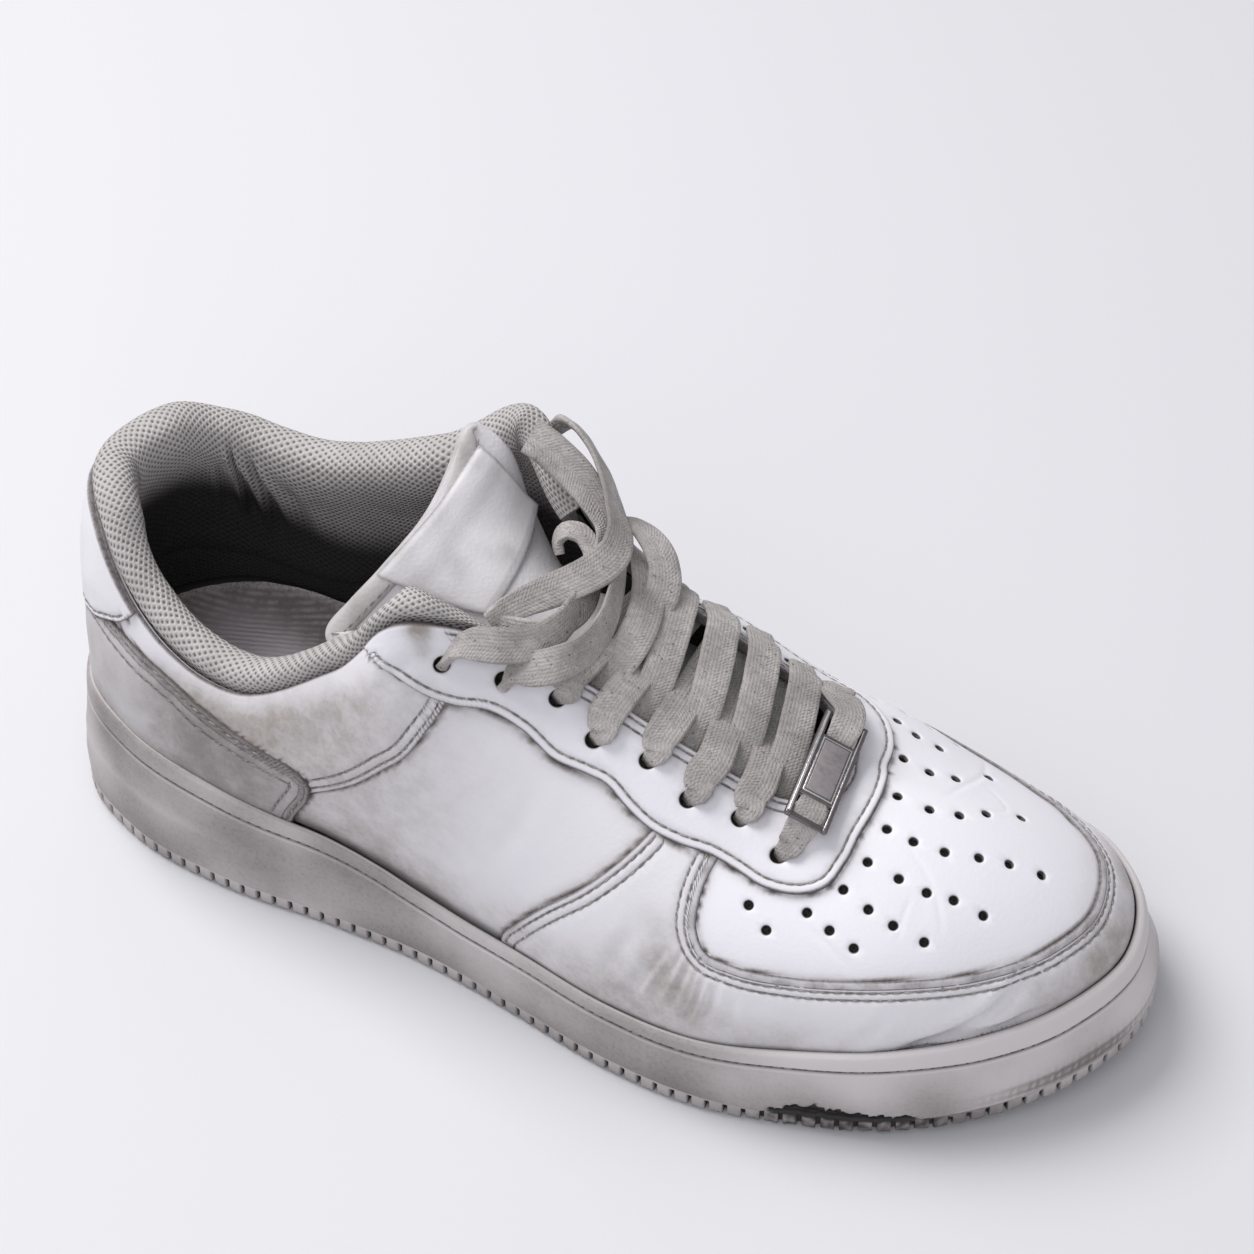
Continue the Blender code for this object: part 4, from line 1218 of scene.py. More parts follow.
def triangulated(last: Last, loops: list[Array], loose: Array) -> tuple[Array, Array]:
    """Triangles between closed loops of (u, v), the first round the others.

    Args:
        last: the form that the loops lie on.
        loops: outline, then holes.
        loose: more points inside.

    Returns:
        The (u, v) of the points, and the triangles.
    """
    uv = np.vstack([*loops, loose])
    flat = last.flat(*uv.T)
    edges, start = [], 0
    for loop in loops:
        count = len(loop)
        edges += [(start + k, start + (k + 1) % count) for k in range(count)]
        start += count
    spots = [Vector((float(x), float(y))) for x, y in flat]
    made = geometry.delaunay_2d_cdt(spots, edges, [], 0, 1e-4)
    at = np.array([spot[:] for spot in made[0]])
    source = np.array([origin[0] if origin else -1 for origin in made[3]])
    for lost in np.where(source < 0)[0]:
        source[lost] = int(np.argmin(((flat - at[lost]) ** 2).sum(1)))
    faces = np.array([face for face in made[2] if len(face) == 3])
    centres = at[faces].mean(1)
    keep = inside(centres, flat[: len(loops[0])])
    start = len(loops[0])
    for loop in loops[1:]:
        hole = flat[start : start + len(loop)]
        near = np.linalg.norm(centres - hole.mean(0), axis=1) < 12
        keep[near] &= ~inside(centres[near], hole)
        start += len(loop)
    faces = faces[keep]
    used, faces = np.unique(faces, return_inverse=True)
    return uv[source[used]], faces.reshape(-1, 3)


@dataclass
class Upper:
    """Leather upper: a lining, a base layer, and the panels sewn over it."""

    last: Last
    wear: Wear
    seams: Seams
    eyestay_edge: tuple = (
        (129, 0.985), (131, 0.955), (137, 0.89), (145, 0.84), (151, 0.812), (157, 0.806),
        (164, 0.825), (170, 0.815), (178, 0.78), (186, 0.788), (191, 0.792), (198, 0.763),
        (205, 0.74), (213, 0.744), (221, 0.76), (229, 0.75), (241, 0.712), (252, 0.697),
        (266, 0.725), (279, 0.793), (297, 0.862), (337, 0.905), (372, 0.905), (407, 0.868),
        (432, 0.831), (452, 0.797), (465, 0.79), (478, 0.797), (490, 0.81), (502, 0.80),
        (513, 0.79), (524, 0.80), (534, 0.82), (543, 0.85), (551, 0.90), (558, 0.96), (560, 0.985),
    )
    throat_edge: tuple = (
        (560, 0.985), (555, 0.999), (545, 1), (531, 1), (502, 1), (478, 1), (454, 1), (423, 1),
        (396, 1), (351, 1), (303, 1), (277, 1), (252, 1), (228, 1), (202, 1), (173, 1),
        (150, 1), (142, 1), (134, 0.999), (129, 0.985),
    )
    toe_edge: tuple = (
        (224, 0.80), (222, 0.69), (221.5, 0.60), (222.5, 0.50), (226, 0.43), (235, 0.398),
        (252, 0.372), (270, 0.366), (289, 0.352), (309, 0.33), (325, 0.319), (339, 0.317),
        (360, 0.320), (376, 0.322), (390, 0.33), (403, 0.35), (415, 0.365), (428, 0.375),
        (442, 0.39), (455, 0.405), (466, 0.425), (475, 0.46), (479, 0.52), (479, 0.60),
        (477, 0.70), (474, 0.84),
    )
    toe_top: tuple = (
        (474, 0.84), (455, 0.85), (432, 0.885), (407, 0.92), (372, 0.95), (337, 0.95),
        (297, 0.91), (279, 0.86), (266, 0.79), (252, 0.76), (241, 0.77), (224, 0.80),
    )
    vamp_outer: tuple = (
        (165, -0.03), (166, 0.02), (171.5, 0.138), (180, 0.288), (192.5, 0.475), (200.5, 0.619),
        (205.5, 0.738), (207, 0.79),
    )
    vamp_inner: tuple = (
        (492, 0.84), (494, 0.79), (499, 0.68), (506, 0.55), (517, 0.38), (528, 0.21),
        (536, 0.07), (540, -0.03),
    )
    collar_front: tuple = (
        (156, 0.84), (155, 0.79), (151, 0.694), (145, 0.594), (136, 0.519), (124.5, 0.419),
        (114, 0.33), (105, 0.25),
    )
    collar_back: tuple = (
        (-130, 0.25), (-138, 0.33), (-148, 0.42), (-157, 0.52), (-163, 0.60), (-168, 0.70),
        (-172, 0.79), (-173, 0.84),
    )
    foxing_top: tuple = (
        (-108, -0.03), (-109, 0.10), (-113, 0.20), (-114, 0.30), (-108, 0.36), (-98, 0.41),
        (-84, 0.47), (-69, 0.53), (-56, 0.58), (-40, 0.60), (-20, 0.62), (0, 0.62),
        (20, 0.64), (30, 0.68), (40, 0.75), (55, 0.80), (68, 0.79), (84, 0.681), (98, 0.52),
        (105, 0.44), (109, 0.36), (109, 0.26), (106, 0.14), (103.5, 0.02), (103, -0.03),
    )
    tab_edge: tuple = (
        (-46, 0.99), (-45, 0.90), (-43, 0.80), (-38, 0.69), (-31, 0.60), (-23, 0.545),
        (-12, 0.52), (0, 0.51), (10, 0.51), (17, 0.515), (23, 0.535), (30, 0.60), (37, 0.725),
        (42, 0.83), (45, 0.94), (46, 0.99),
    )
    perforations: tuple = (
        (223, 30), (229, 28.5), (235, 29.5), (230, 17), (237, 17.5), (243, 20.5), (249, 30),
        (233.5, 2.5), (242, 3), (249, 6), (254.5, 11.5), (262, 18), (235, -8), (242, -8),
        (250, -6.5), (258, -3), (265, 0.5), (273, 3.5), (234, -18), (242.5, -18.5), (250, -18),
        (256.5, -16.5), (264.5, -15.5), (231, -26.5), (238.5, -28), (245.5, -28.5), (253.5, -28),
        (224.5, -34), (231, -35.5), (238, -36.5), (210.5, -37.5), (216.5, -40.5), (222, 39),
        (229, 39.5), (237, 39), (214, 38),
    )
    ring_count: int = 420
    vent_radius: float = 1.2
    eyelet_radius: float = 2.1
    covering: list = field(init=False, default_factory=list)
    toe_grid: tuple = field(init=False, default=())

    def spot(self, x: float, y: float) -> tuple[float, float]:
        """The (u, v) of the leather over a point of the plan at the toe."""
        if not self.toe_grid:
            u = np.linspace(215, 495, 561)
            v = np.linspace(0.3, 1, 141)
            grid_u, grid_v = (part.ravel() for part in np.meshgrid(u, v))
            self.toe_grid = grid_u, grid_v, self.last.shell(grid_u, grid_v)
        grid_u, grid_v, points = self.toe_grid
        best = int(np.argmin((points[:, 0] - x) ** 2 + (points[:, 1] - y) ** 2))
        return float(grid_u[best]), float(grid_v[best])

    def line(self, points: tuple) -> Array:
        """Dense line in space along points (u, v)."""
        u, v = resampled(np.array(points, float) * (1, PANEL_SPAN), 2.0).T
        return self.last.shell(u, v / PANEL_SPAN)

    def ring(
        self,
        name: str,
        low: float,
        high: float,
        rows: int,
        level: float,
        depth: float,
        finish: Material,
        slot: Slot,
        keep: Callable[[Array, Array], Array],
        replaces: tuple[str, ...] = (),
    ) -> Object:
        """Layer of the upper all round the shoe.

        Args:
            name: name of the layer.
            low: lowest v.
            high: highest v.
            rows: number of rows of points.
            level: how far its outer face is above the last.
            depth: how thick it is.
            finish: its material.
            slot: a material slot, not used.
            keep: which (u, v) to keep, as a function of both.
            replaces: solids that it stands for.

        Returns:
            The layer.
        """
        u = np.linspace(0, self.last.round, self.ring_count, endpoint=False)
        v = np.linspace(low, high, rows)
        grid_u, grid_v = np.tile(u, rows), np.repeat(v, self.ring_count)
        point, normal, _, _ = self.last.frame(grid_u, grid_v)
        relief = self.wear.relief(point)
        faces = grid_faces(rows, self.ring_count, True)
        middle_u = grid_u[faces[:, 0]] + self.last.round / self.ring_count / 2
        faces = faces[keep(middle_u, grid_v[faces].mean(1))]
        used, faces = np.unique(faces, return_inverse=True)
        faces = faces.reshape(-1, 4)
        point, normal, relief, at_v = point[used], normal[used], relief[used], grid_v[used]
        # Dirt and painted shade near the edges of the panels over this layer, and a dark line of painted
        # shade at each edge.
        seam = np.minimum(nearest(point, self.covering), 99)
        dirt_wear_and_shade = np.maximum(self.wear.dirt_wear_and_shade(point, at_v), 0.85 * np.exp(-seam / 1.7))
        edge = 0.95 * bell(seam, 0.8)
        top = point + normal * (level + relief)[:, None]
        bottom = point + normal * (level - depth + relief)[:, None]
        cloth = np.column_stack([grid_u[used], at_v * PANEL_SPAN, np.zeros(len(used))])
        points, faces = thick(top, bottom, faces)
        twice = lambda data: np.concatenate([data, data])
        values = {"dirt_wear_and_shade": twice(dirt_wear_and_shade), "edge": twice(edge), "cloth": twice(cloth)}
        return add_piece(name, points, faces, finish, replaces, values)

    def panel(self, name: str, finish: Material, sides: tuple[Side, ...], **sizes) -> None:
        """Make one panel and sew it on.

        Args:
            name: name of the piece.
            finish: its leather.
            sides: its outline.
            **sizes: the panel's other values.
        """
        Panel(name, self.last, self.wear, sides, **sizes).build(finish, self.seams)

    def build(self) -> None:
        """Make every layer and panel."""
        leather = Leather("quarter_leather").material()
        covering = (
            self.vamp_outer, self.vamp_inner, self.collar_front, self.collar_back,
            self.foxing_top, self.eyestay_edge,
        )
        self.covering = [self.line(points) for points in covering]
        self.build_layers(leather)
        self.build_toe(leather)
        self.build_ankle_and_heel(leather)
        self.build_eyestay()

    def build_layers(self, leather: Material) -> None:
        """Make the lining and the quarter, cut away where other panels hide it."""
        stay, toe = np.array(self.eyestay_edge), np.array(self.toe_edge)[3:-3]

        def shows(u: Array, v: Array) -> Array:
            """Whether the quarter shows at u and v, or is just under a panel's edge."""
            below_stay = v < np.interp(u, stay[:, 0], stay[:, 1] + 0.045, left=2, right=2)
            return below_stay & (v < np.interp(u, toe[:, 0], toe[:, 1] + 0.07, left=2, right=2))

        # The lining's near-black colour is painted shade for the inside of the shoe.
        lining = Knit("lining_knit", (0.045, 0.04, 0.04), (0.012, 0.01, 0.01), depth=0.2).material()
        self.ring("upper_lining", -0.05, 0.97, 30, -2.6, 0.35, lining, Slot.MESH, lambda u, v: v < 2)
        self.ring("quarter", -0.05, 0.985, 46, -1.0, 1.1, leather, Slot.LEATHER, shows, ("upper",))

    def build_toe(self, leather: Material) -> None:
        """Make the toe box with its holes, and the guard round it."""
        colours = {"clean": (0.89, 0.87, 0.92), "grain": 0.04, "roughness": 0.40}
        smooth = Leather("toe_box_leather", **colours).material()
        vents = tuple(Hole(*self.spot(x, y), self.vent_radius) for x, y in self.perforations)
        edge = Panel("toe_edge", self.last, self.wear, (Side(self.toe_edge),))
        widened = edge.inset(np.array(self.toe_edge, float), -3.0)
        stay = self.line(self.eyestay_edge)
        self.panel(
            "toe_box", smooth, (Side(tuple(map(tuple, widened))), Side(self.toe_top_wide(widened))),
            level=-0.75, depth=1.3, holes=vents, over=(self.line(self.toe_edge[1:-1]), stay), spacing=1.6,
        )
        bottom = tuple((u, -0.03) for u in (165, 200, 260, 351, 450, 540))
        sides = (
            Side(bottom),
            Side(self.vamp_inner[::-1], (1.7, 4.3), (3, 4)),
            Side(((492, 0.84), (482, 0.84), (474, 0.84))),
            Side(self.toe_edge[::-1], (2.9, 4.9), (2, 2), 2.0),
            Side(((224, 0.80), (216, 0.80), (207, 0.79))),
            Side(self.vamp_outer[::-1], (1.7, 4.3), (4, 2)),
        )
        self.panel("toe_guard", leather, sides, level=0.1, depth=1.3, over=(stay,))

    def build_ankle_and_heel(self, leather: Material) -> None:
        """Make the ankle panel, the heel foxing and the heel tab."""
        top = tuple((u, 0.993) for u in (-120, -60, 0, 60, 110))
        sides = (
            Side(self.collar_back, (1.7, 4.3), (3, 3)),
            Side(((-173, 0.84), (-160, 0.90), (-150, 0.94), (-145, 0.99))),
            Side(((-145, 0.99), *top, (127, 0.99))),
            Side(((127, 0.99), (134, 0.95), (144, 0.89), (156, 0.84))),
            Side(self.collar_front, (1.7, 4.3), (3, 3)),
            Side(((105, 0.25), (60, 0.45), (0, 0.40), (-60, 0.35), (-130, 0.25))),
        )
        tab = self.line(self.tab_edge)
        over = (self.line(self.foxing_top), self.line(self.eyestay_edge[:4]), tab)
        self.panel("ankle_panel", leather, sides, level=-0.15, depth=1.1, over=over, puff=0.1)
        wear_and_shade = Leather("foxing_leather", clean=(0.60, 0.575, 0.585), dirty_and_shaded=(0.25, 0.225, 0.22)).material()
        bottom = tuple((u, -0.03) for u in (103, 60, 0, -60, -108))
        sides = (Side(self.foxing_top, (1.5, 5.9), (2, 2), 3.0), Side(bottom))
        self.panel("heel_foxing", wear_and_shade, sides, level=0.75, depth=1.6, over=(tab,), cut_edge=0.95)
        top = ((46, 0.99), (20, 0.993), (0, 0.993), (-20, 0.993), (-46, 0.99))
        sides = (Side(self.tab_edge, (1.6,), (3, 3)), Side(top))
        self.panel("heel_tab", leather, sides, level=1.15, depth=1.5, puff=0.5)

    def build_eyestay(self) -> None:
        """Make the band with the eyelets."""
        eyelets = []
        for side in (-1, 1):
            for number in range(1, len(self.last.eyelets) + 1):
                x, below = self.last.eyelet(number, side)
                eyelets.append(Hole(*self.last.under_edge(x, below, side), self.eyelet_radius))
        finish = Leather("eyestay_leather", clean=(0.83, 0.81, 0.86)).material()
        sides = (
            Side(self.eyestay_edge, (2.3,), (3, 3)),
            Side(self.throat_edge, (1.6, 3.8), (24, 24)),
        )
        self.panel(
            "eyestay", finish, sides,
            level=0.95, depth=2.4, holes=tuple(eyelets), edge_round=0.9, cut_edge=0.95, spacing=1.8,
        )

    def toe_top_wide(self, widened: Array) -> tuple:
        """Hidden top side of the toe box, from one end of its edge to the other."""
        inner = self.toe_top[1:-1]
        return (tuple(widened[-1]), *inner, tuple(widened[0]))


# ---------------------------------------------------------------- sole


@dataclass
class Sole:
    """Rubber cup with a sewn groove round it, over a walking layer with edge teeth."""

    last: Last
    wear: Wear
    seams: Seams
    columns: int = 704
    teeth: int = 147
    tooth_height: float = 4.2
    tooth_gap: float = 1.1
    gap_depth: float = 2.1
    groove_width: float = 0.42
    groove_depth: float = 1.0
    tread_pairs: int = 150
    tread_across: int = 70
    turning_rings: tuple = ((38.0, -2.5, 30.0), (212.0, -2.0, 36.0))
    groove_drop: tuple = (
        (0, 7.0), (40, 7.0), (60, 6.4), (86, 5.2), (110, 4.6), (190, 4.2), (211, 4.5), (234, 5.5),
        (258, 6.3), (271, 6.8), (284, 7.2), (298, 6.5), (304, 6.0),
    )

    def loop(self, u: Array, inset: Array, z: Array) -> Array:
        """Points round the shoe, inset from its plan, at these heights."""
        plan, normal = self.last.outline(u)
        return np.column_stack([plan - normal * np.reshape(inset, (-1, 1)), z])

    def profile(self, u: Array, part: Array) -> tuple[Array, Array]:
        """Inset and height of the cup's side; part runs from 0 at the bottom to 1 at the rim."""
        x = self.last.outline(u)[0][:, 0]
        seat, rim, lean = self.last.ground(x) + 4.7, self.last.rim(x), self.last.rim_inset(x)
        keys = np.array([0.0, 0.1, 0.3, 0.6, 1.0])
        insets = np.array([0.25, 0.05, 0.12, 0.5, 1.0])
        shape = through(keys, insets, np.broadcast_to(part, u.shape))[:, 0]
        inset = np.where(np.broadcast_to(part, u.shape) < 0.3, shape, shape * lean)
        return inset, seat + (rim - seat) * part

    def torn(self, u: Array, z: Array) -> Array:
        """How far the rubber is torn away low on the outer toe, from 0 to 1."""
        above = z - self.last.ground(self.last.outline(u)[0][:, 0])
        top = 5.6 + 3.2 * soft(246, 255, u) - 2.6 * soft(256, 284, u)
        top = top + 0.5 * np.sin(u * 1.1) + 0.35 * np.sin(u * 2.9 + 1)
        span = soft(245.5, 248.5, u) * (1 - soft(280, 286, u))
        return span * soft(4.0, 4.6, above) * (1 - soft(top - 0.3, top + 0.3, above))

    def build_cup(self) -> None:
        """Make the cup's side, rim and floor."""
        last = self.last
        u = np.linspace(0, last.round, self.columns, endpoint=False)
        x = last.outline(u)[0][:, 0]
        rim, lean, seat = last.rim(x), last.rim_inset(x), last.ground(x) + 4.7
        table = np.array(self.groove_drop, float)
        height, drop = rim - seat, through(table[:, 0], table[:, 1], x)[:, 0]
        toe = soft(292, 318, u) * (1 - soft(400, 440, u))
        front = soft(205, 262, x)
        tape = soft(10, 22, u) * (1 - soft(92, 100, u)) + soft(610, 622, u) * (1 - soft(690, 700, u))
        depths = [height - more for more in (0, 0.35, 0.7, 1.05, 1.4, 1.8, 2.2, 2.7, 3.3, 4.0, 4.8)]
        parts = (0.16, 0.32, 0.48, 0.63, 0.77, 0.9)
        depths += [height - 4.8 + (drop + 6.4 - height) * part for part in parts]
        depths += [drop + more for more in (1.4, 0.8, 0.45, 0.2, 0.0, -0.2, -0.45, -0.9, -1.5)]
        depths += [drop * 0.42, *(np.full(len(u), depth) for depth in (1.2, 0.8, 0.45, 0.18, 0.03))]
        rows, dirt_and_highlight, edges = [], [], []
        for depth in depths:
            part = 1 - depth / height
            inset, z = self.profile(u, part)
            point = self.loop(u, inset, z)
            inset = inset + 0.9 * (1 - np.sqrt(np.clip(1 - np.clip(1 - depth / 0.9, 0, 1) ** 2, 0, 1)))
            band = np.clip(1 - depth / drop, 0, 1)
            inset = inset - (0.15 + 0.35 * front) * np.sin(math.pi * band) * (depth < drop)
            groove = bell(depth - drop, self.groove_width)
            inset = inset + self.groove_depth * groove + 0.12 * ripple(point, 14, 2.2)
            line = bell(z - seat - 0.42 * height, 0.55) * tape
            ribs = np.exp(-(((z - seat - 3.4) / 2.7) ** 6)) * toe
            beads = 0.5 + 0.5 * np.cos(u * 2 * math.pi / 2.4)
            beads = beads * abs(np.cos((z - seat - 3.4) * math.pi / 2.7))
            torn = self.torn(u, z)
            inset = inset - 0.5 * line - 0.34 * ribs * beads + torn * (2.0 + 0.8 * ripple(point, 2.2, 5.5))
            rows.append(self.loop(u, inset, z))
            dirt = 0.55 + 0.10 * (1 - soft(0, 0.5, part))
            dirt = dirt - 0.16 * soft(205, 250, x) - 0.16 * soft(262, 292, x)
            dirt = dirt + 0.40 * ripple(point, 22, 1.1) + 0.45 * ribs * (1 - beads)
            dirt = dirt + 0.30 * soft(0, 0.5, torn) - 0.40 * (depth < drop) * (0.1 + 0.9 * front)
            # Painted highlight: the ridge under the groove is made lighter.
            below = bell(depth - drop - 0.6, 0.4)
            dirt_and_highlight.append(np.clip(dirt - 0.25 * below - 0.3 * line, 0, 1))
            # Painted shade: black in the groove and in the torn gap, and a dark contact line at the top of
            # the rim.
            edges.append(np.clip(groove * 1.2 + 1.2 * soft(0.25, 0.75, torn) + 0.15 * (depth < 0.3), 0, 1))
        for more, rise, shade in ((0.9, 0.0, 0.1), (1.5, -0.12, 0.35), (1.9, -0.5, 0.95), (2.5, -2.2, 1.0)):
            rows.append(self.loop(u, lean + more, rim + rise))
            dirt_and_highlight.append(np.full(len(u), 0.3))
            edges.append(np.full(len(u), shade))
        rows.append(self.loop(u, lean + 3.2, last.floor(x)))
        rows.append(self.loop(u, lean + 8.0, last.floor(x) - 1.5))
        rows.append(self.loop(u, np.full(len(u), 8.0), last.ground(x) + 4.9))
        dirt_and_highlight += [np.full(len(u), 0.6)] * 3
        edges += [np.full(len(u), 0.3)] * 3
        faces = tube_faces(len(rows), len(u))
        finish = Rubber("cup_rubber_worn").material()
        values = {"dirt_wear_and_shade": np.concatenate(dirt_and_highlight), "edge": np.concatenate(edges)}
        add_piece("cup_side", np.vstack(rows), faces, finish, ("midsole",), values)
        inset, z = self.profile(u, 1 - drop / height)
        line = self.loop(u, inset + 0.5, z)
        normal = np.column_stack([last.outline(u)[1], np.zeros(len(u))])
        self.seams.sew(np.vstack([line, line[:1]]), np.vstack([normal, normal[:1]]))

    def build_walking_layer(self) -> None:
        """Make the toothed edge and the tread."""
        last = self.last
        pitch = last.round / self.teeth
        gap = self.tooth_gap
        across = np.array([0.0, gap * 0.5, gap, gap + 0.1, gap + 0.35, 2.6, 3.8, pitch - 0.3, pitch - 0.1])
        notch = np.array([1.0, 1.0, 1.0, 0.12, 0.0, 0.0, 0.0, 0.0, 0.12])
        u = (np.arange(self.teeth)[:, None] * pitch + across).ravel()
        notch = np.tile(notch, self.teeth)
        x = last.outline(u)[0][:, 0]
        ground = last.ground(x)
        wear_and_shade = soft(228, 246, u) * (1 - soft(296, 330, u))
        deep = self.gap_depth * notch * (1 - 0.35 * wear_and_shade)
        rows, dirt_and_highlight, edges = [], [], []
        stops = (
            (0.0, 0.7, 1.0), (0.35, 0.25, 1.0), (1.2, 0.0, 1.0), (2.6, -0.1, 1.0), (3.7, -0.05, 1.0),
            (4.1, 0.0, 0.9), (4.3, 0.05, 0.05), (4.6, 0.12, 0.0), (4.9, 0.5, 0.0),
        )
        for rise, base, share in stops:
            z = ground + rise
            point = self.loop(u, np.full(len(u), base), z)
            rough = (0.18 + 0.5 * wear_and_shade) * ripple(point, 2.6, 9.1)
            inset = base + deep * share + rough + 0.9 * self.torn(u, z)
            rows.append(self.loop(u, inset, z))
            dirt_and_highlight.append(np.clip(0.62 + 0.35 * wear_and_shade - 0.05 * rise + 0.3 * ripple(point, 20, 4.4), 0, 1))
            burnt = soft(243, 249, u) * (1 - soft(288, 300, u))
            shade = notch * share + 1.1 * soft(0.1, 0.7, self.torn(u, z))
            shade = shade + burnt * (0.5 + 0.9 * ripple(point, 1.8, 3.7))
            shade = shade + max(0.0, 0.6 - rise) + (0.2 if rise > 4.5 else 0.0)
            edges.append(np.clip(shade, 0, 1))
        rows.append(self.loop(u, np.full(len(u), 3.0), ground + 4.95))
        rows.append(self.loop(u, np.full(len(u), 3.0), ground + 1.2))
        rows.append(self.loop(u, np.full(len(u), 2.2), ground))
        dirt_and_highlight += [np.full(len(u), 0.7)] * 3
        edges += [np.full(len(u), 0.4)] * 3
        faces = tube_faces(len(rows), len(u))
        finish = Rubber("walking_rubber", clean=(0.64, 0.60, 0.595)).material()
        values = {"dirt_wear_and_shade": np.concatenate(dirt_and_highlight), "edge": np.concatenate(edges)}
        add_piece("walking_edge", np.vstack(rows), faces, finish, ("outsole",), values)
        self.build_tread(finish)

    def build_tread(self, finish: Material) -> None:
        """Make the tread plate: turning rings at ball and heel, and bars between."""
        last = self.last
        pairs, across_count = self.tread_pairs, self.tread_across
        keys = last.facing_keys(pairs)
        plan, normal = last.outline(keys)
        edge = plan - normal * 2.6
        outer, inner = edge[1:pairs], edge[pairs + 1 :][::-1]
        across = np.linspace(0, 1, across_count)
        points = outer[:, None] * (1 - across)[None, :, None] + inner[:, None] * across[None, :, None]
        x, y = points[..., 0].ravel(), points[..., 1].ravel()
        depth = np.zeros(len(x))
        free = np.ones(len(x), bool)
        for mid_x, mid_y, size in self.turning_rings:
            away = np.hypot(x - mid_x, y - mid_y)
            free &= away > size + 2
            rings = np.cos(away * 2 * math.pi / 5.6) > 0.35
            depth = np.where(away < size, np.where(rings, 1.3, 0.0), depth)
            depth = np.where(abs(away - size - 0.8) < 1.2, 1.6, depth)
        bars = (np.cos(x * 2 * math.pi / 7.5) > 0.55) | (np.cos((y + 0.3 * x) * 2 * math.pi / 11) > 0.86)
        depth = np.where(free & bars, 1.2, depth)
        z = last.ground(x) + 0.1 + depth
        bottom = np.column_stack([x, y, z])
        top = np.column_stack([x, y, last.ground(x) + 4.4])
        faces = grid_faces(pairs - 1, across_count, False)
        made, faces = thick(top, bottom, faces)
        dirt_wear_and_shade = np.full(len(made), 0.75)
        add_piece("tread_plate", made, faces, finish, (), {"dirt_wear_and_shade": dirt_wear_and_shade}, sharp=30)

    def build(self) -> None:
        """Make the whole sole."""
        self.build_cup()
        self.build_walking_layer()


@dataclass
class Insole:
    """Thin footbed, curled up round the heel, with a frayed edge and a worn heel."""

    last: Last
    pairs: int = 120
    thickness: float = 4.5
    curl: float = 6.0

    def build(self) -> None:
        """Make the footbed."""
        last = self.last
        u = last.facing_keys(self.pairs)
        plan, normal = last.outline(u)
        x = plan[:, 0]
        wall = last.rim_inset(x) + RIM_LEDGE + GAP + WALL + 0.6 + GAP
        base = last.floor(x) + GAP
        curl = self.curl * np.clip((110 - x) / 60, 0, 1)
        fray = 0.35 * ripple(np.column_stack([plan, base]), 2.5, 6.0)
        profile = (
            (1.6, 0.0, 0.0), (0.7, 0.4, 0.6), (0.5, 0.9, 1.0), (0.9, 1.0, 1.0), (1.8, 1.02, 0.95),
            (3.2, 1.0, 0.75), (5.5, 1.0, 0.4), (8.0, 1.0, 0.12), (11.0, 1.0, 0.0),
        )
        rows, edges = [], []
        for inset, rise, lift in profile:
            amount = wall + inset + fray * (0.4 < rise)
            z = base + self.thickness * rise + curl * lift
            rows.append(np.column_stack([plan - normal * amount[:, None], z]))
            edges.append(np.full(len(u), float(0.3 < rise) * (1 - float(soft(0.8, 3.0, inset)))))
        points = np.vstack(rows)
        faces = grid_faces(len(rows), len(u), True).tolist()
        count, top = len(u), (len(rows) - 1) * len(u)
        across = 14
        outer = points[top + 1 : top + self.pairs]
        inner = points[top + self.pairs + 1 : top + count][::-1]
        middle = np.linspace(0, 1, across + 1)[1:-1]
        fill = outer[:, None] * (1 - middle)[None, :, None] + inner[:, None] * middle[None, :, None]
        start = len(points)
        points = np.vstack([points, fill.reshape(-1, 3)])

        def number(k: int, j: int) -> int:
            """Number of the point k along the footbed and j across it."""
            if j == 0:
                return top + 1 + k
            if j == across:
                return top + count - 1 - k
            return start + k * (across - 1) + j - 1

        for k in range(self.pairs - 2):
            for j in range(across):
                faces.append((number(k, j), number(k + 1, j), number(k + 1, j + 1), number(k, j + 1)))
        for tip, k in ((top, 0), (top + self.pairs, self.pairs - 2)):
            for j in range(across):
                pair = (number(k, j), number(k, j + 1))
                faces.append((tip, *pair) if k == 0 else (tip, *pair[::-1]))
        for k in range(self.pairs):
            faces.append(fold_strip(k, count)[::-1])
        edge = np.concatenate([*edges, np.zeros(len(fill) * (across - 1))])
        wear_and_shade = np.exp(-(((points[:, 0] - 42) / 19) ** 2 + ((points[:, 1] - 8) / 13) ** 2) ** 2) * 0.9
        cloth = np.column_stack([points[:, 0], points[:, 1], np.zeros(len(points))])
        values = {"edge": edge, "dirt_wear_and_shade": wear_and_shade, "cloth": cloth}
        finish = Footbed("footbed_ribbed").material()
        add_piece("footbed", points, faces, finish, ("insole",), values)


# ---------------------------------------------------------------- collar and tongue


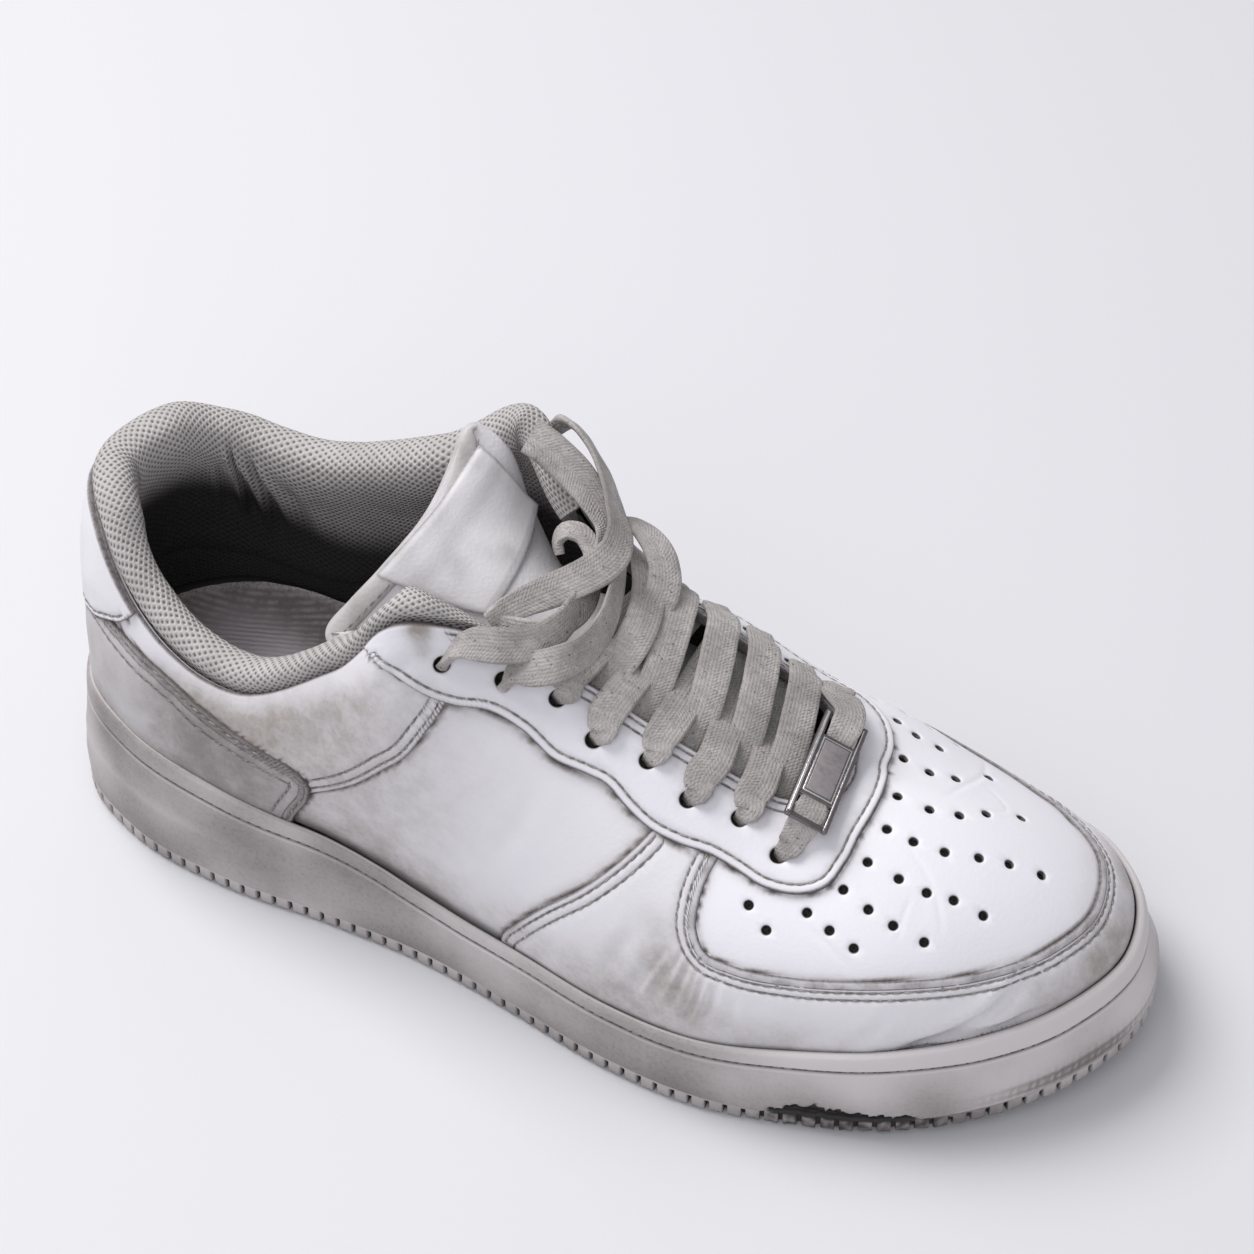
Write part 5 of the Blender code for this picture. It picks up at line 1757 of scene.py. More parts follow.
@dataclass
class Collar:
    """Padded roll of mesh fabric round the ankle, from throat to throat.

    A row of the section is how far below the leather's edge, negative above it, and how
    far inside the leather's outer face.
    """

    last: Last
    section: tuple = (
        (34, 3.3), (22, 3.4), (11, 3.2), (0, 2.6), (-1.2, 1.4), (-2.8, 0.1), (-4.8, -0.4),
        (-7.6, 1.0), (-9.2, 4.6), (-8.4, 8.6), (-4.0, 11.4), (4, 12.2), (14, 10.4), (25, 7.4),
        (36, 5.4), (44, 4.6), (46, 4.0), (44, 3.4),
    )
    folds: tuple = (
        (-60, 3, 30, 2.3, 2.0), (-51, 1, 26, 2.0, 1.8), (-70, 10, 34, 1.0, 2.4), (-43, 12, 36, 1.0, 2.2),
        (-4, 14, 34, 0.8, 3.0), (20, 8, 28, 0.5, 3.5),
    )
    samples: int = 330

    def build(self) -> None:
        """Make the roll with its lining."""
        last = self.last
        start, end = last.keys[22] - 2.0 - last.round, last.keys[6] + 2.0
        u = np.linspace(end - 0.6, start + 0.6, self.samples)
        section = np.array(self.section, float)
        keys = lengths(section)
        dense = np.linspace(0, keys[-1], 62)
        shape = through(keys, section, dense)
        rows, cloth, wear_and_shade = [], [], []
        run = lengths(last.shell(u, np.ones(len(u))))
        for k, at in enumerate(u):
            to_end = min(at - start, end - at)
            stand, full = np.clip(0.15 + to_end / 26, 0, 1), 0.45 + 0.55 * np.clip(to_end / 45, 0, 1)
            depth = np.where(shape[:, 0] > -1, shape[:, 0], -1 + (shape[:, 0] + 1) * stand)
            inward = np.where(shape[:, 1] < 2.6, shape[:, 1], 2.6 + (shape[:, 1] - 2.6) * full)
            length = lengths(last.shell(np.full(30, at), np.linspace(0, 1, 30)))[-1]
            depth = np.minimum(depth, length - 4)
            height = 1 - np.clip(depth, 0, None) / length
            point, normal, _, upward = last.frame(np.full(len(depth), at), height)
            bulge = np.zeros(len(depth))
            for where, high, low, size, width in self.folds:
                slant = (depth - high) * 0.12
                inner = soft(5, 8, inward)
                span = soft(high - 9, high, depth) * (1 - soft(low, low + 8, depth))
                swell = math.exp(-(((at - where) / (width * 2.2)) ** 2))
                bulge += size * inner * span * np.cos((at - where + slant) / width * 1.6) * swell
            inward = inward - bulge
            rows.append(point + unit(upward) * np.clip(-depth, 0, None)[:, None] - normal * inward[:, None])
            cloth.append(np.column_stack([np.full(len(depth), run[k]), dense, np.zeros(len(depth))]))
            # Painted shade: the roll darkens to near black deep inside the shoe.
            begin = 6 + 15 * float(soft(45, 100, -at)) + 10 * float(soft(60, 110, at))
            deep = soft(begin, begin + 17, depth) * np.maximum(soft(3.0, 4.5, inward), depth > 30)
            wear_and_shade.append(0.97 * deep)
        points = np.vstack(rows)
        points = points + 0.25 * ripple(points, 7, 5.0)[:, None] * (0, 0, 1)
        faces = band_faces(self.samples, len(shape))
        values = {"cloth": np.vstack(cloth), "dirt_wear_and_shade": np.concatenate(wear_and_shade)}
        finish = Knit("collar_knit").material()
        made = add_piece("collar_roll", points, faces, finish, ("collar_pad",), values)


@dataclass
class Tongue:
    """Padded tongue: a leaf with a bound edge and a bare label patch.

    A fold is the middle of its upper face, then how far the outer edge stands out, forward
    and up from there, the same for the inner edge, and the thickness.
    """

    last: Last
    wear: Wear
    seams: Seams
    folds: tuple = (
        (206.0, 0.0, 68.5, 17, 0, -3, 17, 0, -2, 2.6),
        (190.0, 0.0, 74.5, 25, 0, -11, 25, 0, -9, 3.2),
        (170.0, 0.0, 83.0, 28, 0, -14, 28, 0, -12, 4.0),
        (150.0, 0.0, 92.0, 30, -1, -17, 30, 0, -14, 5.0),
        (134.0, 0.0, 100.5, 24, -3, -19, 25, 0, -14, 6.0),
        (120.0, 0.0, 109.5, 22, -6, -20, 29.5, 1, -4.5, 7.5),
        (111.0, 0.0, 115.5, 22.5, -13, -23, 31.5, 2, 7.5, 8.0),
        (105.5, 0.0, 119.5, 24, -21.5, -31, 29.5, -2, 10, 7.0),
    )
    corners: tuple = (5.0, 4.0)
    rows: int = 96
    around: int = 72
    table: Array = field(init=False)
    keys: Array = field(init=False)
    length: float = field(init=False)

    def __post_init__(self) -> None:
        """Measure the tongue's length."""
        self.table = np.array(self.folds, float)
        self.keys = lengths(self.table[:, :3])
        self.length = float(self.keys[-1])

    def surface(self, along: Array, across: Array, down: Array) -> Array:
        """Point of the tongue.

        Args:
            along: distance from its root.
            across: -1 at the outer edge to 1 at the inner.
            down: 0 on the upper face to 1 on the lower.

        Returns:
            Points in millimetres.
        """
        row = through(self.keys, self.table, along)
        middle, thickness = row[:, :3], row[:, 9]
        outer = np.column_stack([row[:, 4], -row[:, 3], row[:, 5]])
        inner = np.column_stack([row[:, 7], row[:, 6], row[:, 8]])
        edge = np.where((across < 0)[:, None], outer, inner)
        bend = np.column_stack([across**2, abs(across), across**2])
        thin = 1 - soft(self.length - 5, self.length, along) * 0.35
        point = middle + edge * bend
        return point - np.array([0.35, 0, 0.94]) * (thickness * thin * down)[:, None]

    def reach(self, across: Array) -> Array:
        """Distance from the root to the free end, which has round corners."""
        half = np.where(across < 0, 34.0, 28.0)
        corner = np.where(across < 0, *self.corners)
        into = np.clip((abs(across) * half - (half - corner)) / corner, 0, 1)
        return self.length - corner * (1 - np.sqrt(np.clip(1 - into**2, 0, 1)))

    def normal(self, along: Array, across: Array) -> Array:
        """Outward normal of the upper face."""
        zero = np.zeros(len(along))
        ahead = self.surface(along + 0.5, across, zero) - self.surface(along - 0.5, across, zero)
        aside = self.surface(along, across + 0.02, zero) - self.surface(along, across - 0.02, zero)
        return unit(np.cross(aside, ahead)) * np.sign(np.cross(aside, ahead)[:, 2:3] + 1e-9)

    def build(self) -> None:
        """Make the leaf, its binding and the patch."""
        angle = np.linspace(0, 2 * math.pi, self.around, endpoint=False)
        across = np.cos(angle)
        full = np.copysign(abs(np.sin(angle)) ** 0.6, np.sin(angle))
        down = (1 - full) / 2
        rows, keep = [], []
        for part in np.linspace(0, 1, self.rows):
            along = part * self.reach(across)
            point = self.surface(along, across, down)
            wrinkle = 0.5 * np.sin(along / 2.6 + 1.2 * np.sin(across * 3))
            wrinkle = wrinkle * soft(10, 20, along) * (1 - soft(72, 84, along))
            wrinkle = wrinkle * (0.4 + 0.6 * ripple(point, 12, 3.3))
            point[:, 2] += wrinkle * (down < 0.5)
            rows.append(point)
            keep.append(np.clip(0.10 + 0.3 * ripple(point, 10, 2.0) + 0.25 * (1 - soft(30, 70, along)), 0, 1))
        points = np.vstack(rows)
        faces = grid_faces(self.rows, self.around, True).tolist()
        half = self.around // 2
        for top in (0, (self.rows - 1) * self.around):
            for k in range(half):
                strip = [top + index for index in fold_strip(k, self.around)]
                faces.append(strip if top else strip[::-1])
        leather = Leather("tongue_leather_worn", clean=(0.82, 0.80, 0.83), grain=0.08).material()
        faces = [face[::-1] for face in faces]
        dirt_wear_and_shade = {"dirt_wear_and_shade": np.concatenate(keep)}
        made = add_piece("tongue_leaf", points, faces, leather, ("tongue",), dirt_wear_and_shade)
        self.build_binding()
        self.build_patch()

    def build_binding(self) -> None:
        """Make the strip folded over the free end and the sides near it."""
        side = np.linspace(self.length - 11, self.reach(np.array([-1.0]))[0], 26)[:-1]
        across = np.concatenate([np.full(25, -0.995), np.sin(np.linspace(-math.pi / 2, 1.3, 110)) * 0.995])
        along = np.concatenate([side, self.reach(across[25:])])
        rim_top = self.surface(along, across, np.zeros(len(along)))
        rim_low = self.surface(along, across, np.ones(len(along)))
        rim = (rim_top + rim_low) / 2
        way = unit(np.gradient(rim, axis=0))
        up = self.normal(along, across)
        inward = unit(np.cross(up, way))
        middle = self.surface(along - 9 * (abs(across) < 0.9), across * 0.7, np.zeros(len(along)))
        inward *= np.sign(((middle - rim) * inward).sum(1))[:, None]
        up = unit(np.cross(way, inward))
        up *= np.sign(up[:, 2:3])
        deep = np.linalg.norm(rim_top - rim_low, axis=1) / 2
        count = 20
        turn = np.linspace(0, 2 * math.pi, count, endpoint=False)
        wide = boxy(np.cos(turn), 0.75)
        high = boxy(np.sin(turn), 0.75)
        taper = soft(0, 20, np.minimum(np.arange(len(along)), np.arange(len(along))[::-1]))
        sections = (
            rim[:, None]
            + inward[:, None] * (2.3 + 3.1 * wide)[None, :, None] * (0.3 + 0.7 * taper)[:, None, None]
            + up[:, None] * (deep * 0.75 + 0.7)[:, None, None] * high[None, :, None]
        )
        points = sections.reshape(-1, 3)
        points = points + 0.2 * ripple(points, 5, 8.0)[:, None] * (0, 0, 1)
        faces = band_faces(len(along), count)
        colours = {"clean": (0.62, 0.595, 0.59), "dirty_and_shaded": (0.34, 0.315, 0.31)}
        finish = Leather("binding_leather", **colours, grain=0.1).material()
        dirt_wear_and_shade = np.clip(0.3 + 0.5 * ripple(points, 9, 1.7), 0, 1)
        made = add_piece("tongue_binding", points, faces, finish, (), {"dirt_wear_and_shade": dirt_wear_and_shade})
        recalculated(made)
        line = rim + inward * 4.0 + up * (deep * 0.75 + 0.45)[:, None]
        self.seams.sew(line[8:-8], up[8:-8])

    def build_patch(self) -> None:
        """Make the bare patch sewn over the middle of the free end."""
        rows, count = 30, 40
        part, share = np.meshgrid(np.linspace(0, 1, rows), np.linspace(0, 1, count), indexing="ij")
        part, share = part.ravel(), share.ravel()
        bow = 4 * part * (1 - part)
        left, right = -0.59 + 0.18 * part - 0.09 * bow, 0.79 + 0.19 * part - 0.08 * bow
        across = left + (right - left) * share
        reach = 26.5 - 11 * share + 4.5 * 4 * share * (1 - share)
        along = self.length - 0.2 - 3.0 * share**2 - part * reach
        point = self.surface(along, across, np.zeros(len(along)))
        normal = self.normal(along, across)
        rim = np.minimum.reduce([part * 22, (1 - part) * 22, share * 44, (1 - share) * 44])
        lift = 1.25 + 0.35 * soft(0, 1.2, rim) - 0.9 * soft(4, 9, part * 21) * 0.7 - 0.5 * (part < 0.02)
        top = point + normal * (lift + 0.25 * ripple(point, 8, 4.1))[:, None]
        bottom = point + normal * (lift - 0.9)[:, None]
        points, faces = thick(top, bottom, grid_faces(rows, count, False))
        edge = 0.6 * bell(rim, 0.5)
        inner = 0.30 * bell(rim - 1.6, 0.35) * (0.15 + 0.85 * soft(0.4, 0.9, part))
        dirt_wear_and_shade = np.clip(0.16 + 0.4 * ripple(point, 7, 2.8), 0, 1)
        colours = {"clean": (0.80, 0.775, 0.80), "dirty_and_shaded": (0.42, 0.40, 0.41)}
        finish = Leather("patch_fabric", **colours, grain=0.06, roughness=0.6).material()
        values = {
            "dirt_wear_and_shade": np.concatenate([dirt_wear_and_shade, dirt_wear_and_shade]),
            "edge": np.concatenate([np.maximum(edge, inner), np.full(len(edge), 0.6)]),
        }
        made = add_piece("tongue_patch", points, faces, finish, (), values)
        recalculated(made)


def recalculated(piece: Object) -> None:
    """Turn a closed piece's faces outwards."""
    deselect()
    piece.select_set(True)
    bpy.context.view_layer.objects.active = piece
    bpy.ops.object.mode_set(mode="EDIT")
    bpy.ops.mesh.select_all(action="SELECT")
    bpy.ops.mesh.normals_make_consistent(inside=False)
    bpy.ops.object.mode_set(mode="OBJECT")


# ---------------------------------------------------------------- laces


@dataclass(frozen=True)
class Ribbon:
    """Flat lace along a route.

    Each row of the route is a point, the way that its face looks, and its width.
    """

    route: tuple
    thickness: float = 1.5
    step: float = 0.9

    def swept(self) -> tuple[Array, Array, Array, Array]:
        """Points, cloth coordinates, ring count and middle line of the band."""
        table = np.array(self.route, float)
        keys = lengths(table[:, :3])
        count = max(6, round(keys[-1] / self.step))
        at = np.linspace(0, keys[-1], count)
        rows = through(keys, table, at)
        middle = rows[:, :3]
        way = unit(through(keys, table[:, :3], at + 0.4) - through(keys, table[:, :3], at - 0.4))
        up = unit(rows[:, 3:6])
        side = unit(np.cross(way, up))
        up = unit(np.cross(side, way))
        turn = np.linspace(0, 2 * math.pi, 16, endpoint=False)
        wide = boxy(np.cos(turn), 0.45)
        high = boxy(np.sin(turn), 0.7)
        width = rows[:, 6] / 2
        thick_at = self.thickness / 2 * np.clip(8.0 / np.maximum(rows[:, 6], 3), 1, 1.7)
        wave = 0.12 * ripple(middle, 3.0, 1.9)
        across = wide[None] * (width + wave)[:, None]
        cup = 0.25 * (wide[None] ** 2 - 0.4) * np.ones((count, 1))
        raised = high[None] * thick_at[:, None] + cup
        points = middle[:, None] + side[:, None] * across[..., None] + up[:, None] * raised[..., None]
        cloth = np.stack([np.repeat(at[:, None], 16, 1), across, np.zeros_like(across)], axis=-1)
        return points.reshape(-1, 3), cloth.reshape(-1, 3), np.array([count, 16]), middle


@dataclass
class Lacing:
    """Flat laces: strands across the throat, a straight bar, and the loose knotted ends.

    A rise is how far across the throat, and how high a strand is there: over the others
    for the strands of the inner side, and under them for those of the outer.
    """

    last: Last
    width: float = 9.4
    rise_over: tuple = (
        (0.0, 2.9), (0.2, 4.4), (0.42, 4.9), (0.6, 4.4), (0.74, 2.9), (0.88, 0.4), (1.0, -2.4),
        (1.12, -4.6),
    )
    rise_under: tuple = (
        (0.0, 3.0), (0.12, 3.3), (0.26, 2.3), (0.4, 1.1), (0.6, 0.3), (0.76, -0.5), (0.9, -1.6),
        (1.0, -3.0), (1.12, -4.8),
    )

    def strand(self, number: int, side: int, over_x: float, land_x: float, slack: float) -> tuple:
        """Route of a strand from its eyelet over the throat and under the other edge.

        Args:
            number: eyelet, counted from the collar.
            side: -1 for the outer side and 1 for the inner.
            over_x: where it passes over the edge beside it.
            land_x: where it goes under the edge across.
            slack: how far its middle is pushed towards the toe.

        Returns:
            Rows of a ribbon's route.
        """
        last = self.last
        x, below = last.eyelet(number, side)
        hole, up = last.over(x, below, side, 0.0)
        edge, edge_up = last.over(over_x, 0.5, side, 0.0)
        land, land_up = last.over(land_x, 0.0, -side, 0.0)
        throat = np.array([0.42, 0.0, 0.9])
        toward = unit(edge - hole)[0]
        rows = self.rising(hole, up, toward)
        for part, rise in self.rise_over if side > 0 else self.rise_under:
            middle = edge + (land - edge) * part + np.array([slack * math.sin(math.pi * min(part, 1)), 0, 0])
            face = unit(edge_up * max(0, 0.4 - part) + throat + land_up * max(0, part - 0.8))[0]
            rows.append((*(middle + face * rise), *face, self.width))
        return tuple(rows)

    def rising(self, hole: Array, up: Array, toward: Array) -> list:
        """Start of a route, from inside an eyelet and out over its far side."""
        out = unit(toward + np.array([0.55, 0, 0]))[0]
        return [
            (*(hole - up * 2.9 + out * 0.6), *(up * 0.1 - out), 3.6),
            (*(hole - up * 0.9 + out * 0.9), *(up * 0.4 - out), 4.0),
            (*(hole + up * 1.0 + out * 1.6), *(up * 0.8 - out), 4.8),
            (*(hole + up * 2.1 + out * 3.0), *(up - out * 0.3), 6.6),
            (*(hole + up * 2.8 + toward * 5.4), *up, self.width - 0.8),
        ]

    def build_crossings(self, finish: Material) -> None:
        """Make the strands that cross the throat."""
        strands = (
            (3, -1, 152.5, 160.0, 0.0), (4, -1, 164.0, 169.0, 0.0), (5, -1, 177.0, 180.0, 0.0),
            (6, -1, 190.0, 187.0, 0.0), (7, -1, 201.5, 198.5, 0.0), (3, 1, 155.0, 159.0, 4.0),
            (4, 1, 165.5, 171.5, 0.0), (5, 1, 177.0, 184.5, 0.0), (6, 1, 188.5, 196.0, 0.0),
            (7, 1, 200.0, 206.5, 0.0),
        )
        self.join("lace_strands", [Ribbon(self.strand(*row)) for row in strands], finish, ("lace_crossings",))

    def join(self, name: str, ribbons: list[Ribbon], finish: Material, replaces: tuple[str, ...]) -> Object:
        """Make several ribbons one piece."""
        points, cloth, faces, offset = [], [], [], 0
        for ribbon in ribbons:
            made, weave, (rings, around), _ = ribbon.swept()
            weave = weave + (offset * 0.37, 0, 0)
            faces += band_faces(int(rings), int(around), offset)
            points.append(made)
            cloth.append(weave)
            offset += len(made)
        points = np.vstack(points)
        dirt_wear_and_shade = np.clip(0.10 + 0.55 * ripple(points, 8, 3.9), 0, 0.6)
        values = {"cloth": np.vstack(cloth), "dirt_wear_and_shade": dirt_wear_and_shade}
        made = add_piece(name, points, faces, finish, replaces, values)
        recalculated(made)
        return made

    def build_bar(self, finish: Material) -> None:
        """Make the lowest strand, straight across and through the keeper."""
        last = self.last
        rows = []
        for side in (-1, 1):
            x, below = last.eyelet(8, side)
            hole, up = last.over(x, below, side, 0.0)
            inward, _ = last.over(x + 1.0, max(below - 6, 3), side, 0.0)
            toward = unit(inward - hole)[0]
            rows.append(self.rising(hole, up, toward))
        centre = np.array(Keeper.centre)
        along, face = np.array((-0.07, 0.99, 0.11)), np.array((0.415, -0.07, 0.907))
        stops = (
            (-18.2, -5.6, -0.7, 7.2), (-16.4, -3.2, -0.7, 8.2), (-14.4, -0.9, -0.6, 8.6),
            (-12.4, 0.7, -0.2, 8.2), (-10.6, 0.6, 0.2, 7.6), (-8.4, -1.6, 0, 7.0),
            (-3.0, -2.0, 0, 7.0), (3.0, -2.0, 0, 7.0),
            (8.4, -1.6, 0, 7.0), (11.0, 0.6, 0, 7.4), (13.6, 1.9, 0, 8.2), (16.6, 1.5, 0, 8.4),
        )
        across = [
            (*(centre + along * aside + face * rise), *(face + along * tip), width)
            for aside, rise, tip, width in stops
        ]
        route = (*rows[0][:4], *across, *rows[1][::-1])
        self.join("lace_bar_woven", [Ribbon(route)], finish, ("lace_bar",))

    def cord(
        self, name: str, route: tuple, finish: Material, replaces: tuple[str, ...]
    ) -> None:
        """Args:
            name: name of the piece.
            route: rows of its ribbon.
            finish: its material.
            replaces: solids that it stands for.
        """
        ribbon = Ribbon(route)
        _, _, _, middle = ribbon.swept()
        made = self.join(name, [ribbon], finish, replaces)

    def build_loose(self, finish: Material) -> None:
        """Make the knot and the loose laces that meet in it."""
        curl = (
            (136.6, 11.6, 107.6, -0.9, -0.3, 0.3, 4.6), (135.4, 13.2, 110.0, -0.8, -0.3, 0.5, 4.8),
            (136.6, 15.2, 112.4, -0.2, -0.4, 0.9, 5.0), (140.0, 16.0, 112.6, 0.1, -0.4, 0.9, 5.2),
            (144.0, 14.4, 110.8, 0.4, -0.4, 0.8, 5.2), (147.2, 10.0, 109.2, 0.5, -0.3, 0.8, 5.2),
        )
        under = (
            (133.0, -16.0, 108.1, 0.2, -0.8, 0.5, 4.0), (138.5, -15.4, 107.8, 0.2, -0.7, 0.6, 4.6),
            (145.0, -13.0, 107.4, 0.4, -0.6, 0.7, 5.2), (149.0, -6.5, 106.8, 0.8, -0.2, 0.5, 6.0),
            (149.8, 0.5, 107.0, 0.9, 0.0, 0.4, 6.6), (148.0, 7.5, 107.6, 0.8, 0.2, 0.5, 6.6),
        )
        loop = (
            (146.6, 25.4, 110.2, 0.8, 0.5, 0.4, 7.0), (151.6, 26.4, 109.4, 0.6, 0.3, 0.7, 8.2),
            (156.9, 24.6, 107.6, 0.6, 0.0, 0.8, 9.0), (161.4, 20.6, 104.8, 0.6, -0.1, 0.8, 9.4),
            (163.6, 14.4, 101.6, 0.6, -0.3, 0.8, 9.4), (162.4, 7.6, 98.8, 0.5, -0.4, 0.8, 9.2),
            (158.9, 1.2, 96.0, 0.4, -0.4, 0.8, 9.0), (155.4, -3.4, 93.4, 0.3, -0.4, 0.85, 8.4),
        )
        self.join("lace_knot_turns", [Ribbon(curl), Ribbon(under), Ribbon(loop)], finish, ("lace_knot",))
        outer_top = (
            (124.8, -31.2, 102.6, -0.7, 0.4, 0.3, 3.6), (125.6, -30.2, 105.0, -0.6, -0.1, 0.7, 4.2),
            (127.4, -28.6, 107.8, -0.3, -0.3, 0.9, 6.0), (131.2, -26.4, 109.0, 0.0, -0.6, 0.8, 8.4),
            (137.9, -24.4, 109.4, 0.2, -0.7, 0.7, 9.2), (144.0, -20.8, 109.4, 0.6, -0.6, 0.5, 9.0),
            (148.1, -13.4, 109.4, 0.9, -0.3, 0.4, 8.8), (148.9, -5.4, 109.2, 1.0, 0.0, 0.3, 8.6),
            (148.4, 4.1, 109.4, 1.0, 0.1, 0.3, 8.2), (147.6, 13.6, 110.4, 0.9, 0.1, 0.4, 7.6),
            (145.6, 20.1, 112.6, 0.7, 0.0, 0.7, 7.2), (141.0, 23.8, 116.6, 0.5, -0.2, 0.8, 8.6),
            (135.6, 26.0, 120.8, 0.4, -0.4, 0.8, 9.6), (130.0, 26.6, 125.2, 0.4, -0.5, 0.75, 9.8),
            (124.6, 26.4, 129.0, 0.4, -0.4, 0.8, 9.8), (121.9, 26.2, 130.2, 0.4, -0.4, 0.8, 9.6),
        )
        inner_top = (
            (121.6, 41.4, 119.6, 0.3, 0.9, 0.3, 4.4), (124.6, 41.4, 123.0, 0.4, 0.7, 0.6, 5.6),
            (129.6, 39.2, 123.4, 0.6, 0.6, 0.5, 8.0), (134.6, 36.2, 121.4, 0.7, 0.6, 0.4, 8.8),
            (139.2, 32.4, 119.6, 0.75, 0.5, 0.45, 9.2), (143.2, 28.0, 117.9, 0.8, 0.4, 0.45, 9.4),
            (147.2, 22.8, 116.5, 0.85, 0.2, 0.5, 9.4), (150.8, 17.4, 115.6, 0.8, 0.0, 0.6, 9.4),
            (152.2, 11.2, 114.8, 0.65, -0.2, 0.75, 9.4), (150.4, 4.8, 114.2, 0.4, -0.35, 0.85, 9.4),
            (146.6, -1.0, 113.6, 0.25, -0.4, 0.9, 9.2), (142.6, -5.4, 112.8, 0.25, -0.5, 0.8, 8.8),
            (139.0, -9.0, 112.0, 0.3, -0.6, 0.7, 8.0), (135.4, -12.6, 111.0, 0.4, -0.7, 0.6, 7.0),
            (132.2, -16.0, 109.8, 0.5, -0.7, 0.4, 5.2), (130.8, -17.6, 108.9, 0.5, -0.7, 0.4, 3.6),
        )
        second_strand = (
            (139.2, -27.0, 97.0, -0.6, 0.4, 0.4, 3.6), (140.0, -26.2, 99.4, -0.5, -0.1, 0.8, 4.4),
            (141.8, -25.4, 102.6, -0.2, -0.5, 0.8, 6.4), (145.4, -24.2, 104.0, 0.1, -0.7, 0.7, 8.8),
            (150.8, -21.8, 105.4, 0.4, -0.6, 0.6, 9.4), (155.6, -15.6, 106.2, 0.85, -0.4, 0.35, 9.4),
            (157.2, -7.4, 106.8, 0.95, -0.1, 0.3, 9.2), (156.2, 1.2, 107.4, 0.95, 0.2, 0.3, 9.0),
            (153.8, 9.4, 108.0, 0.9, 0.3, 0.3, 8.8), (150.4, 16.8, 108.6, 0.8, 0.4, 0.4, 8.6),
            (146.6, 23.0, 109.0, 0.7, 0.5, 0.5, 8.2), (142.6, 28.2, 108.8, 0.5, 0.5, 0.7, 7.6),
            (138.6, 31.6, 107.6, 0.3, 0.4, 0.9, 6.4),
        )
        self.cord("lace_outer_half", outer_top, finish, ("lace_outer_top", "lace_end_collar"))
        self.cord("lace_inner_half", inner_top, finish, ("lace_inner_top", "lace_end_tongue"))
        self.cord("lace_second_strand", second_strand, finish, ("lace_outer_second",))

    def build(self) -> None:
        """Make every lace."""
        finish = Webbing("lace_cotton").material()
        self.build_loose(finish)
        self.build_crossings(finish)
        self.build_bar(finish)


@dataclass
class Keeper:
    """Metal plate that keeps the lowest strand flat: a bright-railed frame, left bare."""

    centre: tuple = (217.0, -4.8, 79.0)
    length: float = 33.0
    width: float = 12.0
    depth: float = 1.6
    turn: float = 7.0
    slope: float = 24.0
    lean: float = 7.0

    def matrix(self) -> Matrix:
        """Place of the plate over the lowest strand."""
        turn = Matrix.Rotation(math.radians(self.turn), 4, "Z")
        slope = Matrix.Rotation(math.radians(self.slope), 4, "Y")
        lean = Matrix.Rotation(math.radians(self.lean), 4, "X")
        return Matrix.Translation(placed(np.array(self.centre))) @ turn @ slope @ lean

    def box(
        self,
        name: str,
        size: tuple,
        at: tuple,
        bevel: float,
        finish: Material,
        replaces: tuple[str, ...] = (),
    ) -> Object:
        """Make one bevelled bar of the plate.

        Args:
            name: name of the piece.
            size: its length each way.
            at: its middle, from the middle of the plate.
            bevel: width of its rounded edges.
            finish: its metal.
            replaces: solids that it stands for.

        Returns:
            The bar.
        """
        deselect()
        bpy.ops.mesh.primitive_cube_add(size=1)
        piece = bpy.context.object
        piece.name = name
        piece.data.transform(Matrix.Diagonal((*[part * MM for part in size], 1)))
        rounding = piece.modifiers.new("edge", "BEVEL")
        rounding.width, rounding.segments = bevel * MM, 3
        bpy.ops.object.modifier_apply(modifier="edge")
        piece.data.transform(self.matrix() @ Matrix.Translation([part * MM for part in at]))
        piece.data.materials.append(finish)
        piece.data.shade_smooth()
        piece.data.set_sharp_from_angle(angle=math.radians(40))
        return adopt(piece, replaces)

    def build(self) -> None:
        """Make the frame, its bright rails and the blank middle plate."""
        dark = Steel("keeper_dark", (0.22, 0.20, 0.20), 0.36).material()
        bright = Steel("keeper_bright", (0.86, 0.84, 0.85), 0.2).material()
        blank = Steel("keeper_plate", (0.46, 0.42, 0.43), 0.5).material()
        half, wide = self.length / 2, self.width / 2
        rail = (1.7, self.length, 2.0)
        self.box("keeper_rail_heel", rail, (-wide + 0.85, 0, 0.1), 0.5, dark, ("lace_keeper",))
        self.box("keeper_shine_heel", (0.7, self.length - 1.6, 0.5), (-wide + 0.75, 0, 1.1), 0.2, bright)
        self.box("keeper_rail_toe", (1.5, self.length, 1.8), (wide - 0.8, 0, 0), 0.45, dark)
        self.box("keeper_shine_toe", (0.35, self.length - 2.0, 0.3), (wide - 1.2, 0, 0.9), 0.1, bright)
        for side in (-1, 1):
            at = (0, side * (half - 1.0), -0.5)
            self.box(f"keeper_end_{side + 1}", (self.width - 1.6, 1.6, 0.9), at, 0.3, dark)
        self.box("keeper_middle", (self.width - 2.6, 18.8, 1.5), (0, 0, 0), 0.35, dark)
        self.box("keeper_border", (self.width - 3.8, 16.8, 0.5), (0, 0, 0.8), 0.15, bright)
        self.box("keeper_inlay", (self.width - 4.4, 16.2, 0.5), (0, 0, 0.86), 0.15, dark)
        self.box("keeper_face", (self.width - 5.2, 15.4, 0.5), (0, 0, 0.93), 0.15, blank)


